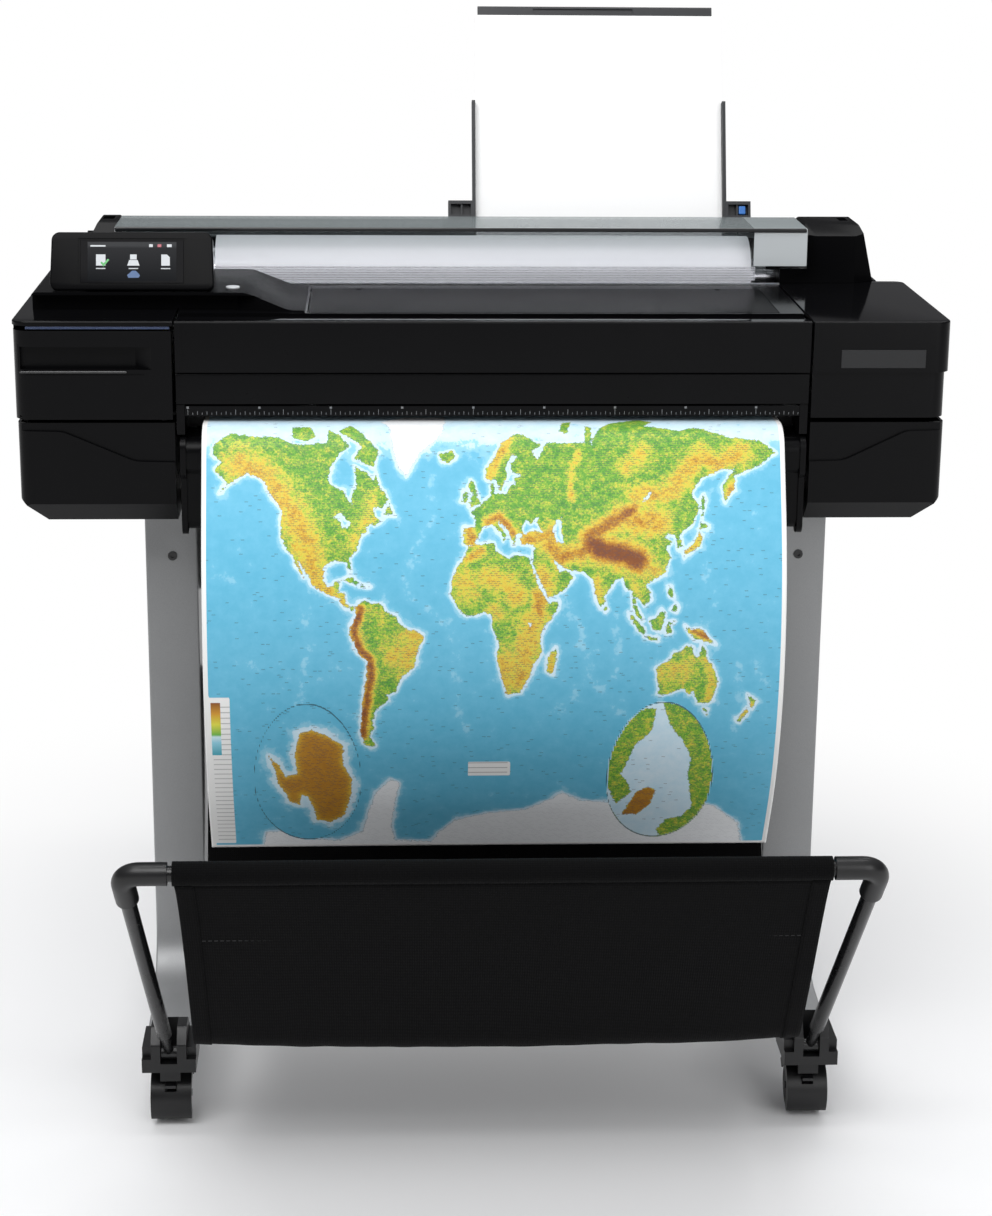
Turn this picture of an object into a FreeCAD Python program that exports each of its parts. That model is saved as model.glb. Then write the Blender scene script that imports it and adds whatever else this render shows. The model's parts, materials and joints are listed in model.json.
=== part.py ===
"""Large format roll plotter on a wheeled stand, with a fabric output basket.

Millimetres. X runs to the right as seen from the front, Y to the back, Z up from the floor.
Inside the functions below Y is measured from the front face of the body; save() moves every
piece by BODY_FRONT_Y, so that the exported model is centred over the origin.
"""
import FreeCAD, Part
import math
import os

V = FreeCAD.Vector

# ---- driving dimensions ----
BODY_WIDTH = 987.0
HALF = BODY_WIDTH / 2
DECK_Z = 868.0            # top of the deck
TOP_Z = 932.0             # top of the roll cover
BODY_Z = 651.0            # underside of the body
SPLIT_Z = 765.0           # seam between upper covers and lower housings
STEP_Z = 814.0            # seam between upper and lower front panels
DECK_DEPTH = 278.0
REAR_Y = 470.0            # back wall of the roll housing
WALL = 3.0
SKIN = 4.0
GAP = 0.5                 # gap between fixed covers
CLEAR = 0.08              # running clearance of a shaft in its bore

LEFT_SEAM = -326.0        # ink door and left cover end here
RIGHT_SEAM = 345.0        # right box starts here
CENTRE_X0 = LEFT_SEAM + 2.0
CENTRE_X1 = RIGHT_SEAM - 1.5

STAND_X = 7.7             # middle of the stand
LEG_OFFSET = 348.0        # from the stand's middle to a leg's middle
LEG_W = 57.0
LEG_Y = 95.0
LEG_DEPTH = 70.0
FOOT_Z = 72.5             # underside of the feet
FOOT_BACK = 400.0
BRACKET_FRONT = -122.0

CASTER_R = 27.5
CASTER_W = 44.0
CASTER_TRAIL = 18.0
CASTER_FRONT_Y = -96.0
CASTER_REAR_Y = 355.0
LEVER_BACK = 21.2         # brake lever pivot, in front of the axle
LEVER_Z = 49.5

BAR_Y = -322.0            # front bar of the basket
BAR_Z = 382.0
BAR_R = 8.0
TUBE_BORE = 6.5
ELBOW_R = 11.75
ELBOW_OUT = 372.0         # from the stand's middle to an elbow's corner
PIVOT_Y = -110.0          # basket pivot in the foot brackets
PIVOT_Z = 91.0
BASKET_HALF = 317.0
REAR_BAR_Y = 140.0
REAR_BAR_Z = 440.0

PAPER_X0 = -296.0
PAPER_X1 = 314.0
PAPER_Z = 760.7
PAPER_T = 0.6
PAPER_GAP = 0.35          # between the paper and the rollers it runs on
ROLL_Y = 300.0
ROLL_Z = 870.0
ROLL_R = 46.0
CORE_R = 25.4
SPINDLE_R = 8.0

FEED_Y = 185.0
FEED_R = 13.0
FEED_Z = PAPER_Z - PAPER_T / 2 - FEED_R - PAPER_GAP
PINCH_R = 6.0
PINCH_Z = PAPER_Z + PAPER_T / 2 + PINCH_R + PAPER_GAP
MOTOR_Y = 128.0
MOTOR_Z = 712.0
FEED_PULLEY_R = 14.0
MOTOR_PULLEY_R = 9.0

CARRIAGE_X = 396.0
CARRIAGE_W = 88.0
ROD_Y = 190.0
ROD_Z = 832.0
ROD_R = 6.0
BELT_Y = 217.0
BELT_Z = 822.0
BELT_PULLEY_R = 9.0
BELT_END_X = 466.0

COVER_X0 = -407.0
COVER_X1 = 375.5
COVER_FRONT = 245.0
COVER_BACK = 348.0
COVER_PIVOT_Y = 405.0
COVER_PIVOT_Z = 884.0
BLOCK_FRONT = 262.0
BLOCK_BACK = 458.0

LID_X0 = -186.0
LID_X1 = 317.0
LID_Y0 = 57.0
LID_Y1 = 216.0
LID_PIVOT_Y = 211.0
LID_PIVOT_Z = 863.6

DOOR_PIVOT_Y = 5.0
DOOR_PIVOT_Z = 766.0
DOOR_TOP = 858.0
DISPLAY_X0 = -460.0
DISPLAY_X1 = -286.0
DISPLAY_Y = 72.0
DISPLAY_Z = 889.5
DISPLAY_H = 62.2
DISPLAY_LEAN = 20.0
KNUCKLE_Y = 17.0          # tilt axis behind the display's front face
KNUCKLE_Z = 10.0          # and above its lower edge
WING_Z = 887.0
BUTTON_X = -268.0
BUTTON_Y = 104.0
BUTTON_R = 7.5

TRAY_Y = 441.0            # lower end of the sheet tray
TRAY_Z = 903.0
TRAY_LEAN = 18.5
TRAY_LENGTH = 274.0
SHEET_W = 297.0
SHEET_X0 = 6.5
SHEET_UP = 262.0          # length of the loaded sheets above the slot

CARTRIDGE_W = 34.0
CARTRIDGE_PITCH = 36.5
CARTRIDGE_X0 = -482.0
CARTRIDGE_Y = 32.0
CARTRIDGE_DEPTH = 84.0

SWING = math.radians(TRAY_LEAN)
FRONT_MOST = BAR_Y - ELBOW_R
REAR_MOST = TRAY_Y + TRAY_LENGTH * math.sin(SWING) + 12.0 * math.cos(SWING)
BODY_FRONT_Y = -(FRONT_MOST + REAR_MOST) / 2


# ---- helpers ----
def box(x0, x1, y0, y1, z0, z1):
    return Part.makeBox(x1 - x0, y1 - y0, z1 - z0, V(x0, y0, z0))


def rod_x(x0, x1, y, z, radius):
    return Part.makeCylinder(radius, x1 - x0, V(x0, y, z), V(1, 0, 0))


def rod_y(y0, y1, x, z, radius):
    return Part.makeCylinder(radius, y1 - y0, V(x, y0, z), V(0, 1, 0))


def rod_z(z0, z1, x, y, radius):
    return Part.makeCylinder(radius, z1 - z0, V(x, y, z0), V(0, 0, 1))


def fuse(first, *others):
    return first.multiFuse(list(others)).removeSplitter()


def group(*solids):
    return Part.makeCompound(list(solids))


def corner_arc(before, corner, after, radius):
    """Start, middle and end of the arc that rounds one corner of a path."""
    back = (before - corner).normalize()
    ahead = (after - corner).normalize()
    half = back.getAngle(ahead) / 2
    reach = radius / math.tan(half)
    middle = (back + ahead).normalize()
    centre = corner + middle * (radius / math.sin(half))
    return corner + back * reach, centre - middle * radius, corner + ahead * reach


def path_edges(points, radii, closed):
    """Straight runs joined by arcs through the given corners."""
    count = len(points)
    edges = []
    last = None if closed else points[0]
    first = None
    corners = range(count) if closed else range(1, count - 1)
    for i in corners:
        corner = points[i]
        if radii[i] > 0:
            start, middle, end = corner_arc(points[i - 1], corner, points[(i + 1) % count], radii[i])
        else:
            start, middle, end = corner, None, corner
        if last is not None and (start - last).Length > 1e-6:
            edges.append(Part.LineSegment(last, start).toShape())
        if middle is not None:
            edges.append(Part.Arc(start, middle, end).toShape())
        first = start if first is None else first
        last = end
    finish = first if closed else points[-1]
    if (finish - last).Length > 1e-6:
        edges.append(Part.LineSegment(last, finish).toShape())
    return edges


def prism(corners, plane, low, high):
    """Extrude an outline. A corner is (a, b) or (a, b, radius) in the plane's two axes."""
    spots = {
        "x": lambda a, b: V(low, a, b),
        "y": lambda a, b: V(a, low, b),
        "z": lambda a, b: V(a, b, low),
    }
    along = {"x": V(1, 0, 0), "y": V(0, 1, 0), "z": V(0, 0, 1)}[plane]
    points = [spots[plane](c[0], c[1]) for c in corners]
    radii = [c[2] if len(c) > 2 else 0 for c in corners]
    face = Part.Face(Part.Wire(path_edges(points, radii, True)))
    return face.extrude(along * (high - low))


def offset_path(path, distance):
    """Shift an open (a, b, radius) path sideways, keeping its arcs concentric."""
    result = []
    count = len(path)
    for i, (a, b, radius) in enumerate(path):
        before = path[max(i - 1, 0)]
        after = path[min(i + 1, count - 1)]
        if i == 0 or i == count - 1:
            da, db = after[0] - before[0], after[1] - before[1]
            size = math.hypot(da, db)
            result.append((a - db / size * distance, b + da / size * distance, 0))
            continue
        in_a, in_b = a - before[0], b - before[1]
        out_a, out_b = after[0] - a, after[1] - b
        in_size = math.hypot(in_a, in_b)
        out_size = math.hypot(out_a, out_b)
        normal_a = -in_b / in_size - out_b / out_size
        normal_b = in_a / in_size + out_a / out_size
        size = math.hypot(normal_a, normal_b)
        turn = in_a * out_b - in_b * out_a
        stretch = distance * 2 / size
        new_radius = radius - distance if turn > 0 else radius + distance
        result.append((a + normal_a / size * stretch, b + normal_b / size * stretch, max(new_radius, 0)))
    return result


def sheet_x(path, thickness, x0, x1):
    """A sheet of even thickness that follows a (y, z, radius) path, extruded along X."""
    one_side = offset_path(path, thickness / 2)
    other_side = offset_path(path, -thickness / 2)
    return prism(one_side + other_side[::-1], "x", x0, x1)


def pipe(points, radius, bend):
    """A round bar along straight runs with rounded corners."""
    wire = Part.Wire(path_edges(points, [bend] * len(points), False))
    start = (points[1] - points[0]).normalize()
    ring = Part.Wire(Part.makeCircle(radius, points[0], start))
    return wire.makePipeShell([ring], True, True)


def rounded(shape, radius, keep):
    """Fillet the edges whose middle point satisfies keep(point)."""
    edges = [e for e in shape.Edges if keep(e.CenterOfMass)]
    return shape.makeFillet(radius, edges)


def lean(shape, degrees, y, z):
    """Tilt a shape built upright at the origin towards the back, and put it at (y, z)."""
    shape.rotate(V(0, 0, 0), V(1, 0, 0), -degrees)
    shape.translate(V(0, y, z))
    return shape


def mirrored_x(x, side):
    """X of a stand piece, measured outwards from the stand's middle."""
    return STAND_X + side * x


def span(side, inner, outer):
    """Sorted X pair of a stand piece that lies between two outward distances."""
    pair = (mirrored_x(inner, side), mirrored_x(outer, side))
    return min(pair), max(pair)


def save(name, shape):
    placed = shape.copy()
    placed.translate(V(0, BODY_FRONT_Y, 0))
    if not placed.isValid():
        print("NOT VALID", name)
    placed.exportStep("parts/" + name + ".step")


# ---- stand ----
def leg(side):
    """Column and foot in one closed painted steel box: an upside-down T with concave shoulders."""
    x0, x1 = span(side, LEG_OFFSET - LEG_W / 2, LEG_OFFSET + LEG_W / 2)
    back = LEG_Y + LEG_DEPTH
    outline = [
        (LEG_Y, BODY_Z - GAP), (LEG_Y, 98, 70), (-60, 86), (-60, FOOT_Z),
        (FOOT_BACK, FOOT_Z), (FOOT_BACK, 80, 6), (back, 100, 70), (back, BODY_Z - GAP),
    ]
    skin = 2.5
    ceiling = BODY_Z - GAP - skin
    inside = [
        (LEG_Y + skin, ceiling), (LEG_Y + skin, 95.5, 72), (-60 + skin, 83.5), (-60 + skin, FOOT_Z + skin),
        (FOOT_BACK - 70, FOOT_Z + skin), (FOOT_BACK - 70, 83.3), (back - skin, 97.5, 72), (back - skin, ceiling),
    ]
    body = prism(outline, "x", x0, x1)
    body = body.cut(prism(inside, "x", x0 + skin, x1 - skin))
    body = rounded(body, 2, lambda p: min(abs(p.x - x0), abs(p.x - x1)) < 0.01 and p.y < LEG_Y + 1 and p.z > 87)
    stem = rod_z(FOOT_Z - 1, FOOT_Z + 5, mirrored_x(LEG_OFFSET, side), CASTER_REAR_Y, 5 + CLEAR)
    head = rod_y(LEG_Y - 1, LEG_Y + 3, mirrored_x(LEG_OFFSET - 1, side), 591, 5.2)
    return body.cut(stem).cut(head)


def leg_screws():
    """Pan head screws that hold the legs to the cross brace."""
    screws = []
    for side in (-1, 1):
        x = mirrored_x(LEG_OFFSET - 1, side)
        head = rod_y(LEG_Y - 1.2, LEG_Y + 3, x, 591, 5.0)
        socket = rod_y(LEG_Y - 2, LEG_Y + 0.5, x, 591, 2.2)
        screws.append(head.cut(socket))
    return group(*screws)


def stand_brace():
    """Folded steel panel between the legs, under the body."""
    x0 = mirrored_x(LEG_OFFSET - LEG_W / 2, -1)
    x1 = mirrored_x(LEG_OFFSET - LEG_W / 2, 1)
    path = [(118, 640, 0), (158, 640, 4), (158, 545, 4), (130, 545, 0)]
    return sheet_x(path, 2.0, x0, x1)


def foot_bracket(side):
    """Plastic toe of the foot: caster socket below, open slot for the basket tube above."""
    middle = mirrored_x(LEG_OFFSET, side)
    half = LEG_W / 2 + 0.5
    base = box(middle - half, middle + half, BRACKET_FRONT, -60.2, FOOT_Z, 88)
    skirts = box(middle - half, middle + half, BRACKET_FRONT + 8, -60.2, FOOT_Z, 99)
    fin = [(BRACKET_FRONT, 80), (BRACKET_FRONT, 104, 4), (-108, 121, 6), (-84, 121, 6), (-60.2, 100), (-60.2, 80)]
    fins = prism(fin, "x", middle - 19, middle + 19)
    slot = box(middle - 9, middle + 9, BRACKET_FRONT - 1, -84, 82.5, 130)
    pin = rod_x(middle - 14, middle + 14, PIVOT_Y, PIVOT_Z, 4 + CLEAR)
    stem = rod_z(FOOT_Z - 1, FOOT_Z + 5, middle, CASTER_FRONT_Y, 5 + CLEAR)
    return fuse(base, skirts, fins).cut(slot).cut(pin).cut(stem)


def caster_fork(side, y):
    """Swivelling hood, web, axle and stem of a twin wheel caster."""
    x = mirrored_x(LEG_OFFSET, side)
    axle_y = y + CASTER_TRAIL
    half = CASTER_W / 2
    hood = rod_x(x - half, x + half, axle_y, CASTER_R, CASTER_R + 4.5)
    hood = hood.cut(rod_x(x - half + 2, x + half - 2, axle_y, CASTER_R, CASTER_R + 1.5))
    hood = hood.cut(rod_x(x - half - 1, x + half + 1, axle_y, CASTER_R, CASTER_R - 6))
    open_part = [(axle_y - 60, -10), (axle_y - 60, 9), (axle_y - 22, 9), (axle_y, CASTER_R), (axle_y + 30, 52),
                 (axle_y + 60, 52), (axle_y + 60, -10)]
    hood = hood.cut(prism(open_part, "x", x - half - 1, x + half + 1))
    web = rod_x(x - 3, x + 3, axle_y, CASTER_R, CASTER_R + 3)
    web = web.cut(box(x - 5, x + 5, axle_y - 50, axle_y + 50, -10, 14))
    axle = rod_x(x - half + 1, x + half - 1, axle_y, CASTER_R, 4)
    neck = box(x - 11, x + 11, y - 11, y + 12, 55, 66)
    neck = neck.cut(rod_x(x - half, x + half, axle_y, CASTER_R, CASTER_R + 1.5))
    collar = rod_z(60, FOOT_Z - 0.6, x, y, 11)
    stem = rod_z(60, FOOT_Z + 4.5, x, y, 5)
    lever_slot = box(x - 6.4, x + 6.4, y - 40, axle_y - 19.4, 42, 53)
    lever_bore = rod_x(x - 9.2, x + 9.2, axle_y - LEVER_BACK, LEVER_Z, 0.9 + CLEAR)
    fork = fuse(hood, web, axle, neck, collar, stem)
    return fork.cut(lever_slot).cut(lever_bore) if y < 0 else fork


def caster_wheels(side, y):
    """Two hard wheels with rubber treads, on one axle."""
    x = mirrored_x(LEG_OFFSET, side)
    axle_y = y + CASTER_TRAIL
    wheels = []
    for low, high in ((x - 18.5, x - 4.5), (x + 4.5, x + 18.5)):
        wheel = rod_x(low, high, axle_y, CASTER_R, CASTER_R)
        wheel = rounded(wheel, 2.5, lambda p: abs(p.x - low) < 0.01 or abs(p.x - high) < 0.01)
        wheels.append(wheel.cut(rod_x(low - 1, high + 1, axle_y, CASTER_R, 4 + CLEAR)))
    return group(*wheels)


def brake_lever(side):
    """Small tab in the front caster's hood that is pressed down to lock the wheels."""
    x = mirrored_x(LEG_OFFSET, side)
    axle_y = CASTER_FRONT_Y + CASTER_TRAIL
    tab = [
        (axle_y - 30.5, 46.8), (axle_y - 30.5, 49.6, 1), (axle_y - 26, 51.8), (axle_y - 20.2, 51.8),
        (axle_y - 20.2, 47.2), (axle_y - 24, 46.8),
    ]
    pin = rod_x(x - 9, x + 9, axle_y - LEVER_BACK, LEVER_Z, 0.9)
    return fuse(prism(tab, "x", x - 5.8, x + 5.8), pin)


# ---- basket ----
def basket_corner(side):
    return V(mirrored_x(ELBOW_OUT, side), BAR_Y, BAR_Z)


def basket_foot(side):
    return V(mirrored_x(LEG_OFFSET, side), PIVOT_Y, PIVOT_Z)


def basket_bar(bore=TUBE_BORE):
    x0, x1 = mirrored_x(ELBOW_OUT - 22, -1), mirrored_x(ELBOW_OUT - 22, 1)
    bar = rod_x(x0, x1, BAR_Y, BAR_Z, BAR_R)
    return bar.cut(rod_x(x0 - 1, x1 + 1, BAR_Y, BAR_Z, bore)) if bore else bar


def basket_elbow(side):
    corner = basket_corner(side)
    down = (basket_foot(side) - corner).normalize()
    start = V(mirrored_x(327, side), BAR_Y, BAR_Z)
    solid = pipe([start, corner, corner + down * 46], ELBOW_R, 17)
    return solid.cut(basket_bar(0)).cut(basket_tube(side, 0))


def basket_tube(side, bore=TUBE_BORE):
    """Side tube from the elbow down to the fork end that pivots in the foot bracket."""
    corner = basket_corner(side)
    foot = basket_foot(side)
    down = (foot - corner).normalize()
    top = corner + down * 21
    low = foot - down * 40
    tube = Part.makeCylinder(BAR_R, (low - top).Length, top, down)
    return tube.cut(Part.makeCylinder(bore, (low - top).Length, top, down)) if bore else tube


def basket_pivot(side):
    """Flat fork end of the side tube, with the pivot pin it turns on."""
    corner = basket_corner(side)
    foot = basket_foot(side)
    down = (foot - corner).normalize()
    blade = Part.makeCylinder(5.5, 42, foot - down * 40, down)
    boss = rod_x(foot.x - 8.5, foot.x + 8.5, foot.y, foot.z, 7.5)
    pin = rod_x(foot.x - 13, foot.x + 13, foot.y, foot.z, 4)
    return fuse(blade, boss, pin)


def basket_fabric():
    """Sling from under the front bar, down and back, and up to the rear bar."""
    path = [
        (BAR_Y + 5, BAR_Z - BAR_R - 1.5, 0), (-207, 146, 40), (-140, 126, 70), (40, 165, 120),
        (REAR_BAR_Y - 4, 300, 90), (REAR_BAR_Y, REAR_BAR_Z - BAR_R - 1, 0),
    ]
    return sheet_x(path, 2.6, mirrored_x(BASKET_HALF, -1), mirrored_x(BASKET_HALF, 1))


def basket_rear_bar():
    reach = LEG_OFFSET - LEG_W / 2
    return rod_x(mirrored_x(reach, -1), mirrored_x(reach, 1), REAR_BAR_Y, REAR_BAR_Z, BAR_R)


# ---- lower body ----
def crease(x_outer, x_inner):
    """Cut-back area above the S-shaped crease on the front of a lower housing."""
    width = x_inner - x_outer
    spots = [(0.0, 752, 0), (0.30, 751, 30), (0.74, 719, 34), (1.0, 718, 0), (1.0, SPLIT_Z, 0), (0.0, SPLIT_Z, 0)]
    outline = [(x_outer + width * share, z, radius) for share, z, radius in spots]
    return prism(outline, "y", -1, 3.5)


def lower_housing(side):
    """Side box under the split line; its outer lower edge is cut off at an angle."""
    outer = side * (HALF - 3)
    inner = LEFT_SEAM if side < 0 else RIGHT_SEAM + 1.5
    x0, x1 = min(outer, inner), max(outer, inner)
    top = SPLIT_Z - 5
    solid = box(x0, x1, 0, DECK_DEPTH, BODY_Z, top)
    solid = rounded(solid, 14, lambda p: abs(p.x - outer) < 0.01 and p.y < 1 and BODY_Z < p.z < top)
    corner = [(outer + side, BODY_Z - 1), (outer - side * 27, BODY_Z - 1), (outer - side * 27, BODY_Z),
              (outer, BODY_Z + 27), (outer + side, BODY_Z + 27)]
    solid = solid.cut(prism(corner, "y", -1, DECK_DEPTH + 1))
    chin = [(-1, BODY_Z + 22), (0, BODY_Z + 22), (22, BODY_Z), (22, BODY_Z - 1), (-1, BODY_Z - 1)]
    solid = solid.cut(prism(chin, "x", x0 - 1, x1 + 1))
    solid = solid.cut(crease(outer + side * 4, inner - side * 2))
    hollow = box(x0 + WALL, x1 - WALL, 9, DECK_DEPTH - WALL, BODY_Z + 26, top + 1)
    hollow_low = box(x0 + 34, x1 - 34, 28, DECK_DEPTH - WALL, BODY_Z + WALL, BODY_Z + 40)
    solid = solid.cut(hollow).cut(hollow_low)
    if side < 0:
        solid = solid.cut(box(x1 - WALL - 1, x1 + 1, FEED_Y - 25, FEED_Y + 25, 725, top + 1))
    return solid


def output_guide():
    """Front wall under the paper slot: a round nose that the paper passes over."""
    shell = [(60, 741, 0), (2, 741, 14), (2, 711, 2), (7, 705, 3), (7, 644, 10), (60, 644, 0)]
    guide = sheet_x(shell, WALL, CENTRE_X0 + 9, CENTRE_X1 - 7)
    back = box(CENTRE_X0 + 9, CENTRE_X1 - 7, 60 - WALL, 60, 644, 741)
    end = [(60, 744), (-2, 744, 12), (-2, 705, 3), (3, 700), (3, 637, 12), (24, 637, 10), (30, 646), (60, 646)]
    left = prism(end, "x", CENTRE_X0 + 3, CENTRE_X0 + 9)
    right = prism(end, "x", CENTRE_X1 - 7, CENTRE_X1 - 1)
    return fuse(guide, back, left, right)


def base_pan():
    low = BODY_Z + 1
    path = [(61.5, 660, 0), (61.5, low, 3), (DECK_DEPTH - 1, low, 3), (DECK_DEPTH - 1, 700, 0)]
    return sheet_x(path, 2.0, CENTRE_X0 + 3, CENTRE_X1 - 1)


# ---- upper body ----
def side_plan(side, inset, y0, inner):
    """Plan outline of a side cover with its rounded front corner."""
    outer = side * (HALF - inset)
    return [(inner, y0), (outer, y0, 18), (outer, DECK_DEPTH - inset, 12), (inner, DECK_DEPTH - inset)]


def right_cover():
    """Right end box: deck, overhanging upper band, set-back lower band."""
    upper = prism(side_plan(1, 0, 0, RIGHT_SEAM + 1.5), "z", STEP_Z, DECK_Z)
    upper = rounded(upper, 2, lambda p: p.z > DECK_Z - 0.01 and p.x > RIGHT_SEAM + 3)
    lower = prism(side_plan(1, 3, 3, RIGHT_SEAM + 1.5), "z", SPLIT_Z, STEP_Z)
    inside = side_plan(1, 3 + WALL, 3 + WALL, RIGHT_SEAM)
    hollow = prism(inside, "z", SPLIT_Z + WALL, DECK_Z - SKIN)
    seam = box(RIGHT_SEAM, HALF + 1, BLOCK_FRONT - 1.8, BLOCK_FRONT - 1, DECK_Z - 0.8, DECK_Z + 1)
    return fuse(upper, lower).cut(hollow).cut(seam)


def left_cover():
    """Left end box, open at the front for the ink bay."""
    plan = side_plan(-1, 0, 0, LEFT_SEAM)
    deck = prism(plan, "z", DECK_Z - SKIN - 1, DECK_Z)
    deck = rounded(deck, 2, lambda p: p.z > DECK_Z - 0.01 and p.x < LEFT_SEAM - 3)
    side_wall = box(-HALF + 1, -HALF + 1 + WALL, 20, DECK_DEPTH - 13, SPLIT_Z, DECK_Z - 3)
    rear_wall = box(-HALF + 1, LEFT_SEAM, DECK_DEPTH - 3 - WALL, DECK_DEPTH - 3, SPLIT_Z, DECK_Z - 3)
    floor = box(-HALF + 1, LEFT_SEAM, 20, DECK_DEPTH - 3, SPLIT_Z, SPLIT_Z + WALL)
    return fuse(deck, side_wall, rear_wall, floor)


def front_cover():
    """Long front panel with the recessed strip along the deck's front edge."""
    section = [
        (0, STEP_Z), (0, DECK_Z, 2.5), (18, DECK_Z, 1), (19, DECK_Z - 3.8), (52, DECK_Z - 3.8),
        (52, DECK_Z - 3.8 - WALL), (SKIN, DECK_Z - 3.8 - WALL), (SKIN, STEP_Z),
    ]
    return prism(section, "x", CENTRE_X0, CENTRE_X1)


def front_lower_panel():
    path = [(12, STEP_Z - 2.2, 0), (4.5, STEP_Z - 2.2, 1.6), (4.5, 780, 0)]
    return sheet_x(path, WALL, CENTRE_X0, CENTRE_X1)


def output_ruler():
    bar = [(4, 767), (4, 777.5), (9, 779), (16, 779), (16, 767)]
    return prism(bar, "x", CENTRE_X0 + 9, CENTRE_X1 - 9)


def slot_ends():
    """Blocks that close the two ends of the paper slot."""
    ends = []
    for x0, x1 in ((CENTRE_X0, CENTRE_X0 + 8.5), (CENTRE_X1 - 8.5, CENTRE_X1)):
        ends.append(box(x0, x1, 5, 40, 747, 779))
    return group(*ends)


def deck_plate():
    """Centre deck round the access lid, with a lug at each lid hinge."""
    plate = box(CENTRE_X0, CENTRE_X1, 52.5, COVER_FRONT - 0.5, DECK_Z - SKIN, DECK_Z)
    window = box(LID_X0 - 1, LID_X1 + 1, LID_Y0 - 1, LID_Y1 + 2.5, DECK_Z - SKIN - 1, DECK_Z + 1)
    lugs = []
    for x in lid_hinge_spots():
        lugs.append(box(x + 10.5, x + 15, LID_PIVOT_Y - 3, LID_Y1 + 8, LID_PIVOT_Z - 3, LID_PIVOT_Z + 2.6))
    return fuse(plate.cut(window), *lugs).cut(lid_hinge_pins())


def lid_hinge_spots():
    return (LID_X0 + 40, LID_X1 - 60)


def lid_hinge_pins():
    return group(*[rod_x(x - 10, x + 15, LID_PIVOT_Y, LID_PIVOT_Z, 1.5) for x in lid_hinge_spots()])


def access_lid():
    """Glossy lid over the carriage; two knuckles turn on the hinge pins."""
    plate = box(LID_X0, LID_X1, LID_Y0, LID_Y1, DECK_Z - 3.2, DECK_Z + 0.3)
    plate = rounded(plate, 3, lambda p: abs(p.z - DECK_Z + 1.45) < 0.1 and p.y < LID_Y0 + 1)
    rib = box(LID_X0 + 8, LID_X1 - 8, LID_Y0 + 3, LID_Y0 + 6, DECK_Z - 9, DECK_Z - 3.2)
    knuckles = []
    for x in lid_hinge_spots():
        knuckles.append(rod_x(x - 10, x + 10, LID_PIVOT_Y, LID_PIVOT_Z, 3))
    lid = fuse(plate, rib, *knuckles)
    for x in lid_hinge_spots():
        lid = lid.cut(rod_x(x - 11, x + 11, LID_PIVOT_Y, LID_PIVOT_Z, 1.5 + CLEAR))
        lid = lid.cut(box(x + 10, x + 15.6, LID_PIVOT_Y - 4.5, LID_Y1 + 1, LID_PIVOT_Z - 6, DECK_Z + 1))
    return lid


def ink_door():
    """Front door of the ink bay, with a grip recess; it folds down on its lower pivots."""
    x_out = -HALF + 1
    x_in = LEFT_SEAM - 1.5
    low, high = DOOR_PIVOT_Z - 2, DOOR_TOP
    solid = prism([(x_in, 0), (x_out, 0, 18), (x_out, 19), (x_in, 19)], "z", low, high)
    inside = [(x_in + 1, SKIN), (x_out + SKIN, SKIN, 14), (x_out + SKIN, 20), (x_in + 1, 20)]
    solid = solid.cut(prism(inside, "z", low - 1, high + 1))
    pocket_x0, pocket_x1, pocket_z0, pocket_z1 = -485.0, -350.0, 817.0, 841.0
    tub = box(pocket_x0 - 2, pocket_x1 + 2, SKIN, 14.5, pocket_z0 - 2, pocket_z1 + 2)
    recess = [(pocket_x0, -1), (pocket_x1 + 3, -1), (pocket_x1 - 16, 12.5), (pocket_x0, 12.5)]
    solid = fuse(solid, tub).cut(prism(recess, "z", pocket_z0, pocket_z1))
    groove = box(x_out - 1, pocket_x1 - 6, -1, 0.9, 811.5, 813)
    ears = []
    for x in (x_out + 9, x_in - 12):
        ears.append(box(x, x + 5, SKIN - 1, 11, DOOR_PIVOT_Z - 3.2, DOOR_PIVOT_Z + 5))
    door = fuse(solid.cut(groove), *ears)
    for post in door_posts():
        relief = box(post - 0.6, post + 5.6, DOOR_PIVOT_Y - 3, 20, low - 1, DOOR_PIVOT_Z + 3.1)
        door = door.cut(relief)
    return door.cut(rod_x(x_out + 5, x_in, DOOR_PIVOT_Y, DOOR_PIVOT_Z, 2 + CLEAR))


def door_posts():
    """Left faces of the two small posts that hold the ink door's pins."""
    return (-HALF + 16, LEFT_SEAM - 21.5)


def ink_door_pins():
    """Pivot pins of the ink door, each on a small arm in front of the bay's floor."""
    x_out = -HALF + 1
    x_in = LEFT_SEAM - 1.5
    pins = []
    for x, post in zip((x_out + 8, x_in - 20), door_posts()):
        pin = rod_x(x, x + 13, DOOR_PIVOT_Y, DOOR_PIVOT_Z, 2)
        eye = rod_x(post, post + 5, DOOR_PIVOT_Y, DOOR_PIVOT_Z, 2.5)
        arm = box(post, post + 5, DOOR_PIVOT_Y, 20, DOOR_PIVOT_Z - 2.5, DOOR_PIVOT_Z + 2.5)
        pins.append(fuse(pin, eye, arm))
    return group(*pins)


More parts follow.
